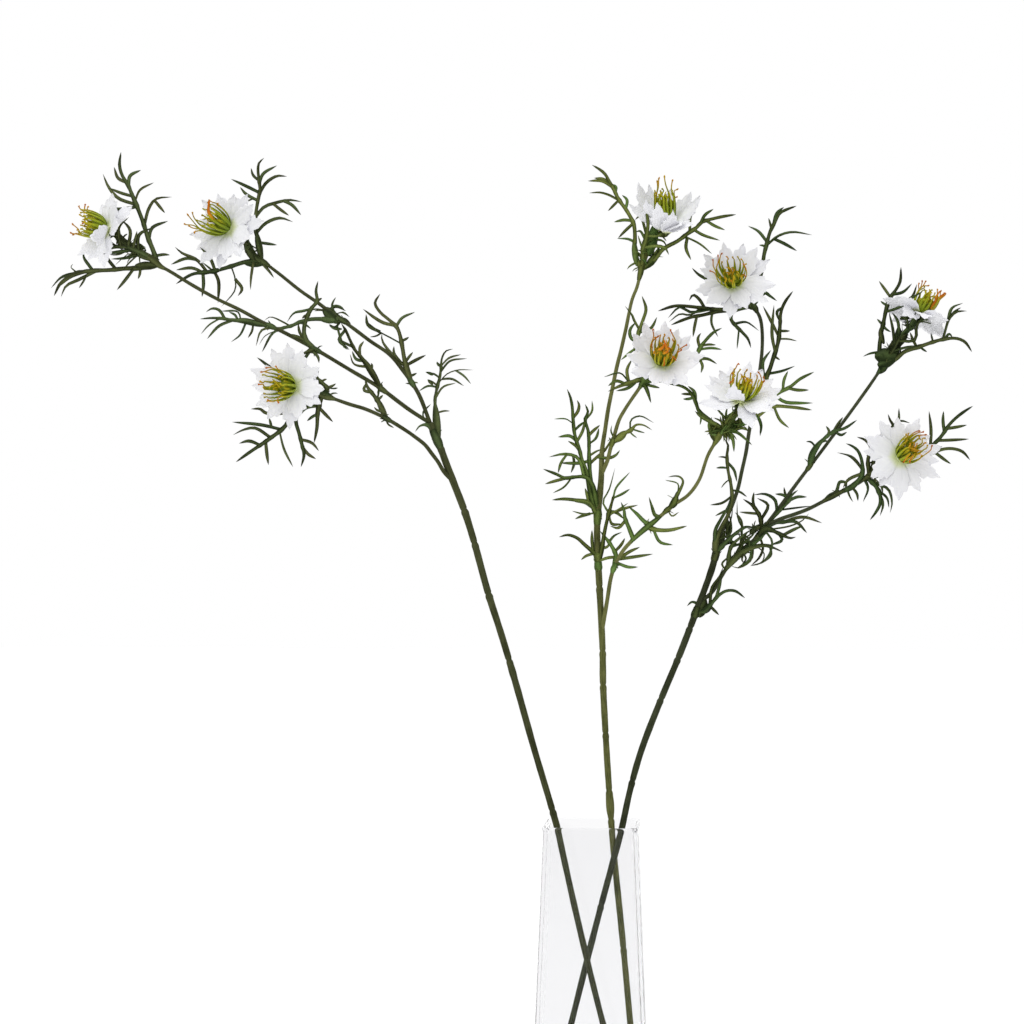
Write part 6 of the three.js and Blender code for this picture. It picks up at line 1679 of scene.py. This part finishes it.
def size_setting(name, description, default):
    """A length in metres."""
    return FloatProperty(
        name=name, description=description, default=default, min=0.0, subtype="DISTANCE", unit="LENGTH"
    )


def colour_setting(name, description, default):
    """A colour in linear values."""
    return FloatVectorProperty(
        name=name, description=description, default=default, size=3, min=0.0, max=1.0, subtype="COLOR"
    )


def count_setting(name, description, default):
    """A whole number of at least three."""
    return IntProperty(name=name, description=description, default=default, min=3)


def share_setting(name, description, default):
    """A share from none to double."""
    return FloatProperty(
        name=name, description=description, default=default, min=0.0, max=2.0, subtype="FACTOR"
    )


class VaseSettings(PropertyGroup):
    height: size_setting("Height", "Height of the vase", 0.245)
    foot: size_setting("Foot width", "Width of the square foot", 0.087)
    rim: size_setting("Rim width", "Width below the flare of the rim", 0.067)
    wall: size_setting("Wall", "Thickness of the wall", 0.0034)
    floor: size_setting("Floor", "Thickness of the floor", 0.012)
    corner: size_setting("Corner radius", "Radius of the upright corners", 0.009)
    chamfer: size_setting("Foot radius", "Rounding round the foot", 0.0012)
    lip: size_setting("Flare", "How far the rim flares out", 0.002)
    lip_height: size_setting("Flare height", "How far below the rim the flare starts", 0.005)
    tint: colour_setting("Tint", "Colour of the glass", (0.915, 0.915, 0.922))
    ripple_scale: FloatProperty(name="Ripple scale", description="How close the ripples lie", default=28.0)


class StemSettings(PropertyGroup):
    ring_step: size_setting("Ring step", "Distance between the rings of a stem's mesh", 0.0013)
    sides: count_setting("Sides", "Points round a stem's mesh", 18)
    groove: share_setting("Groove", "Depth of the groove where the tape ends", 0.17)
    left_dark: colour_setting("Left dark", "Dark streaks of the left stem", shade(44, 47, 26))
    left_light: colour_setting("Left light", "Light streaks of the left stem", shade(84, 88, 56))
    middle_dark: colour_setting("Middle dark", "Dark streaks of the middle stem", shade(62, 66, 32))
    middle_light: colour_setting("Middle light", "Light streaks of the middle stem", shade(119, 121, 72))
    right_dark: colour_setting("Right dark", "Dark streaks of the right stem", shade(36, 40, 24))
    right_light: colour_setting("Right light", "Light streaks of the right stem", shade(72, 78, 54))


class LeafSettings(PropertyGroup):
    rib_root: size_setting("Rib root", "Width of a rib where it springs", 0.0036)
    rib_tip: size_setting("Rib tip", "Width of a rib near its point", 0.0024)
    thread_width: size_setting("Thread width", "Widest part of a thread leaf", 0.0023)
    flatness: share_setting("Flatness", "Thickness of a thread leaf as a share of its width", 0.42)
    sleeve: size_setting("Sleeve", "How far a sleeve stands out from its stem", 0.0007)
    bracts: count_setting("Bracts", "Curled bracts at each leaf node", 8)
    sepals: count_setting("Sepals", "Sepals under each flower", 7)
    rings: count_setting("Rings", "Rings along a thread leaf's mesh", 10)
    sides: count_setting("Sides", "Points round a thread leaf's mesh", 6)
    left_dark: colour_setting("Left dark", "Dark green of the left spray", shade(35, 42, 18))
    left_light: colour_setting("Left light", "Light green of the left spray", shade(98, 110, 67))
    middle_dark: colour_setting("Middle dark", "Dark green of the middle spray", shade(41, 54, 18))
    middle_light: colour_setting("Middle light", "Light green of the middle spray", shade(122, 140, 71))
    right_dark: colour_setting("Right dark", "Dark green of the right spray", shade(26, 35, 12))
    right_light: colour_setting("Right light", "Light green of the right spray", shade(90, 104, 59))


class PetalSettings(PropertyGroup):
    length: size_setting("Length", "From the middle of the flower to a tip", 0.0292)
    width: size_setting("Width", "Widest part of a petal", 0.0142)
    thickness: size_setting("Thickness", "Thickness of the cloth", 0.0004)
    teeth: share_setting("Teeth", "How deep the teeth of a petal's edge are", 1.2)
    widest_gap: FloatProperty(
        name="Widest gap", description="A wider gap gets one more petal, in degrees", default=46.0, min=20.0
    )
    rings: count_setting("Rings", "Rings along a petal's mesh", 34)
    columns: count_setting("Columns", "Columns across a petal's mesh", 13)
    white: colour_setting("White", "Colour of the petals", (0.865, 0.865, 0.888))
    # Painted shade: the grey that the hollows of the creases are painted with.
    shadow: colour_setting("Shadow", "Colour in the creases", (0.66, 0.67, 0.74))
    heart: colour_setting("Heart", "Colour at the root of the petals", shade(205, 215, 130))


class StamenSettings(PropertyGroup):
    length: size_setting("Length", "From the foot of the lantern to the beads", 0.027)
    rib_width: size_setting("Rib width", "Width of a rib of the lantern", 0.0018)
    count: count_setting("Ribs", "Ribs round a lantern", 17)
    anthers: count_setting("Anthers", "Short anthers inside a lantern", 12)
    styles: count_setting("Styles", "Curled styles on the seed case", 5)
    rings: count_setting("Rings", "Rings along a rib's mesh", 30)
    bold_ahead: size_setting("Bold styles ahead", "How far the thick styles stand before the middle", 0.003)
    foot: colour_setting("Foot", "Green at the foot of a rib", shade(105, 127, 28))
    belly: colour_setting("Belly", "Yellow-green of a rib's middle", shade(152, 163, 34))
    gold: colour_setting("Gold", "Gold where the rib narrows", shade(184, 166, 24))
    orange: colour_setting("Orange", "Orange of the filaments", shade(208, 136, 22))
    rust: colour_setting("Rust", "Rust of the beads", shade(188, 96, 20))
    # Painted shade: the dark green that the sides of a rib are painted towards.
    groove: colour_setting("Groove", "Dark green between the ribs", shade(56, 68, 8))


class StageSettings(PropertyGroup):
    floor_size: size_setting("Floor", "Width of the floor", 14.0)
    floor_colour: colour_setting("Floor colour", "Colour of the floor", (0.95, 0.95, 0.95))
    sky: FloatProperty(name="Sky", description="Brightness of the white surroundings", default=1.0, min=0.0)
    ambient: FloatProperty(
        name="Ambient", description="Share of the surroundings' brightness that lights dull surfaces",
        default=0.45, min=0.0,
    )
    above: FloatProperty(
        name="Top light", description="Strength of the broad light from above", default=1.9, min=0.0
    )
    key: FloatProperty(name="Key light", description="Power of the key light", default=20.0, unit="POWER")
    fill: FloatProperty(name="Fill light", description="Power of the fill light", default=5.0, unit="POWER")


# ---- Operators ----


def build_each(names, seed, build):
    """Calls build(name, random) for each name, with a seed of its own."""
    for i, name in enumerate(names):
        build(name, np.random.default_rng(seed + i))


class MIST_OT_groups(Operator):
    """Makes the shader node groups that the finishes share"""
    bl_idname = "mist.groups"
    bl_label = "Finishes"

    def execute(self, context):
        s = context.scene.mist_stamens
        mottle_group()
        foliage_group()
        tape_group()
        cloth_group()
        stamen_group([(0.0, s.foot), (0.42, s.belly), (0.68, s.gold), (0.9, s.orange), (1.0, s.rust)])
        return {"FINISHED"}


class MIST_OT_vase(Operator):
    """Builds the tall tapered glass vase"""
    bl_idname = "mist.vase"
    bl_label = "Vase"

    def execute(self, context):
        settings = context.scene.mist_vase
        build_piece("glass_vase", vase_parts(settings), glass_finish(settings), "vase")
        return {"FINISHED"}


class MIST_OT_stems(Operator):
    """Builds the three stems and their branches"""
    bl_idname = "mist.stems"
    bl_label = "Stems"

    def execute(self, context):
        settings = context.scene.mist_stems

        def build(name, random):
            spray = spray_of(name)
            colours = spray_colours(spray, settings)
            material = finish(f"{spray}_stem_tape", "tape", colours, 55.0, 0.0005, 0.06)
            build_piece(f"{name}_wire", stem_parts(name, settings, random), material, name)

        build_each(STEMS, 100, build)
        return {"FINISHED"}


class MIST_OT_leaves(Operator):
    """Builds the leaf sprigs that clasp the stems"""
    bl_idname = "mist.leaves"
    bl_label = "Leaves"

    def execute(self, context):
        settings = context.scene.mist_leaves

        def build(name, random):
            spray = spray_of(name)
            parts = leaf_parts(name, settings, random)
            build_piece(f"{name}_sprig", parts, leaf_finish(spray, settings), name)

        build_each(LEAVES, 200, build)
        return {"FINISHED"}


class MIST_OT_frills(Operator):
    """Builds each flower's stalk and the frill of leaves under its petals"""
    bl_idname = "mist.frills"
    bl_label = "Frills"

    def execute(self, context):
        settings = context.scene.mist_leaves

        def build(name, random):
            spray = spray_of(name)
            parts = frill_parts(name, settings, random)
            build_piece(f"{name}_ruff", parts, leaf_finish(spray, settings), f"{name}_frill")

        build_each(FLOWERS, 300, build)
        return {"FINISHED"}


class MIST_OT_petals(Operator):
    """Builds each flower's two whorls of cloth petals"""
    bl_idname = "mist.petals"
    bl_label = "Petals"

    def execute(self, context):
        settings = context.scene.mist_petals
        colours = {"White": settings.white, "Shadow": settings.shadow, "Heart": settings.heart}
        material = finish("petal_cloth", "petal_cloth", colours, 70.0, 0.0006, 0.05)

        def build(name, random):
            parts = petal_parts(name, settings, random)
            build_piece(f"{name}_whorls", parts, material, f"{name}_petals")

        build_each(FLOWERS, 400, build)
        return {"FINISHED"}


class MIST_OT_stamens(Operator):
    """Builds each flower's lantern of stamens round its seed case"""
    bl_idname = "mist.stamens"
    bl_label = "Stamens"

    def execute(self, context):
        settings = context.scene.mist_stamens
        # The groove colour is painted shade on the sides of the ribs.
        material = finish("stamen_strips", "stamen_colours", {"Groove": settings.groove}, 240.0, 0.0003, 0.12)

        def build(name, random):
            parts = stamen_parts(name, settings, random)
            build_piece(f"{name}_lantern", parts, material, f"{name}_stamens")

        build_each(FLOWERS, 500, build)
        return {"FINISHED"}


class MIST_OT_stage(Operator):
    """Builds the pale floor, the white surroundings, the soft lights and the camera"""
    bl_idname = "mist.stage"
    bl_label = "Stage"

    def execute(self, context):
        scene, settings = context.scene, context.scene.mist_stage
        half = settings.floor_size / 2
        mesh = bpy.data.meshes.new("floor")
        corners = [(-half, -half, 0), (half, -half, 0), (half, half, 0), (-half, half, 0)]
        mesh.from_pydata(corners, [], [(0, 1, 2, 3)])
        floor = bpy.data.objects.new("floor", mesh)
        scene.collection.objects.link(floor)
        paper = bpy.data.materials.new("floor_paper")
        paper.use_nodes = True
        shader = paper.node_tree.nodes["Principled BSDF"]
        shader.inputs["Base Color"].default_value = (*settings.floor_colour, 1)
        shader.inputs["Roughness"].default_value = 0.9
        shader.inputs["Specular IOR Level"].default_value = 0.1
        mesh.materials.append(paper)

        world = bpy.data.worlds.new("white_room")
        world.use_nodes = True
        background = world.node_tree.nodes["Background"]
        background.inputs["Color"].default_value = (1, 1, 1, 1)
        dull = world.node_tree.nodes.new("ShaderNodeLightPath").outputs["Is Diffuse Ray"]
        less = calculate(world.node_tree, "MULTIPLY", dull, settings.sky * (settings.ambient - 1))
        strength = calculate(world.node_tree, "ADD", less, settings.sky)
        world.node_tree.links.new(strength, background.inputs["Strength"])
        scene.world = world

        sun = bpy.data.objects.new("top_light", bpy.data.lights.new("top_light", "SUN"))
        sun.data.energy, sun.data.angle = settings.above, math.radians(70)
        sun.location = (0, 0, 3)
        scene.collection.objects.link(sun)

        for name, place_at, size, power in (
            ("key_light", (-1.3, -1.9, 2.1), 1.6, settings.key),
            ("fill_light", (1.9, -1.5, 1.2), 1.8, settings.fill),
        ):
            light = bpy.data.lights.new(name, "AREA")
            light.size, light.energy = size, power
            lamp = bpy.data.objects.new(name, light)
            lamp.location = place_at
            aim = Vector((0, 0, 0.45)) - Vector(place_at)
            lamp.rotation_euler = aim.to_track_quat("-Z", "Y").to_euler()
            scene.collection.objects.link(lamp)

        camera = bpy.data.objects.new("camera", bpy.data.cameras.new("camera"))
        right, up = SQUARE * (EYE_ACROSS - AXIS_ACROSS), SQUARE * (FOOT_DOWN - EYE_DOWN)
        camera.location = turned([right, -EYE_DISTANCE, up]) / MM_PER_METRE
        camera.rotation_euler = (math.pi / 2, 0, VIEW_TURN)
        camera.data.sensor_width = 36
        camera.data.lens = camera.data.sensor_width * EYE_DISTANCE / (SQUARE * 2 * EYE_ACROSS)
        scene.collection.objects.link(camera)
        scene.camera = camera
        scene.view_settings.view_transform = "Standard"
        return {"FINISHED"}


class MIST_PT_panel(Panel):
    """The steps that build the sprays and their vase"""
    bl_idname = "MIST_PT_panel"
    bl_label = "Love-in-a-mist"
    bl_space_type = "VIEW_3D"
    bl_region_type = "UI"
    bl_category = "Mist"

    def draw(self, context):
        for step in STEPS:
            self.layout.operator(step.bl_idname)


STEPS = (
    MIST_OT_groups,
    MIST_OT_vase,
    MIST_OT_stems,
    MIST_OT_leaves,
    MIST_OT_frills,
    MIST_OT_petals,
    MIST_OT_stamens,
    MIST_OT_stage,
)
SETTINGS = {
    "mist_vase": VaseSettings,
    "mist_stems": StemSettings,
    "mist_leaves": LeafSettings,
    "mist_petals": PetalSettings,
    "mist_stamens": StamenSettings,
    "mist_stage": StageSettings,
}


def register():
    """Makes the operators, the panel and the settings known to Blender."""
    for kind in (*SETTINGS.values(), *STEPS, MIST_PT_panel):
        bpy.utils.register_class(kind)
    for name, kind in SETTINGS.items():
        setattr(bpy.types.Scene, name, PointerProperty(type=kind))


def unregister():
    """Takes them out again, in the opposite order."""
    for name in SETTINGS:
        delattr(bpy.types.Scene, name)
    for kind in (MIST_PT_panel, *reversed(STEPS), *reversed(SETTINGS.values())):
        bpy.utils.unregister_class(kind)


def main():
    """Builds everything."""
    register()
    bpy.ops.mist.groups()
    bpy.ops.mist.vase()
    bpy.ops.mist.stems()
    bpy.ops.mist.leaves()
    bpy.ops.mist.frills()
    bpy.ops.mist.petals()
    bpy.ops.mist.stamens()
    bpy.ops.mist.stage()


if __name__ == "__main__":
    main()
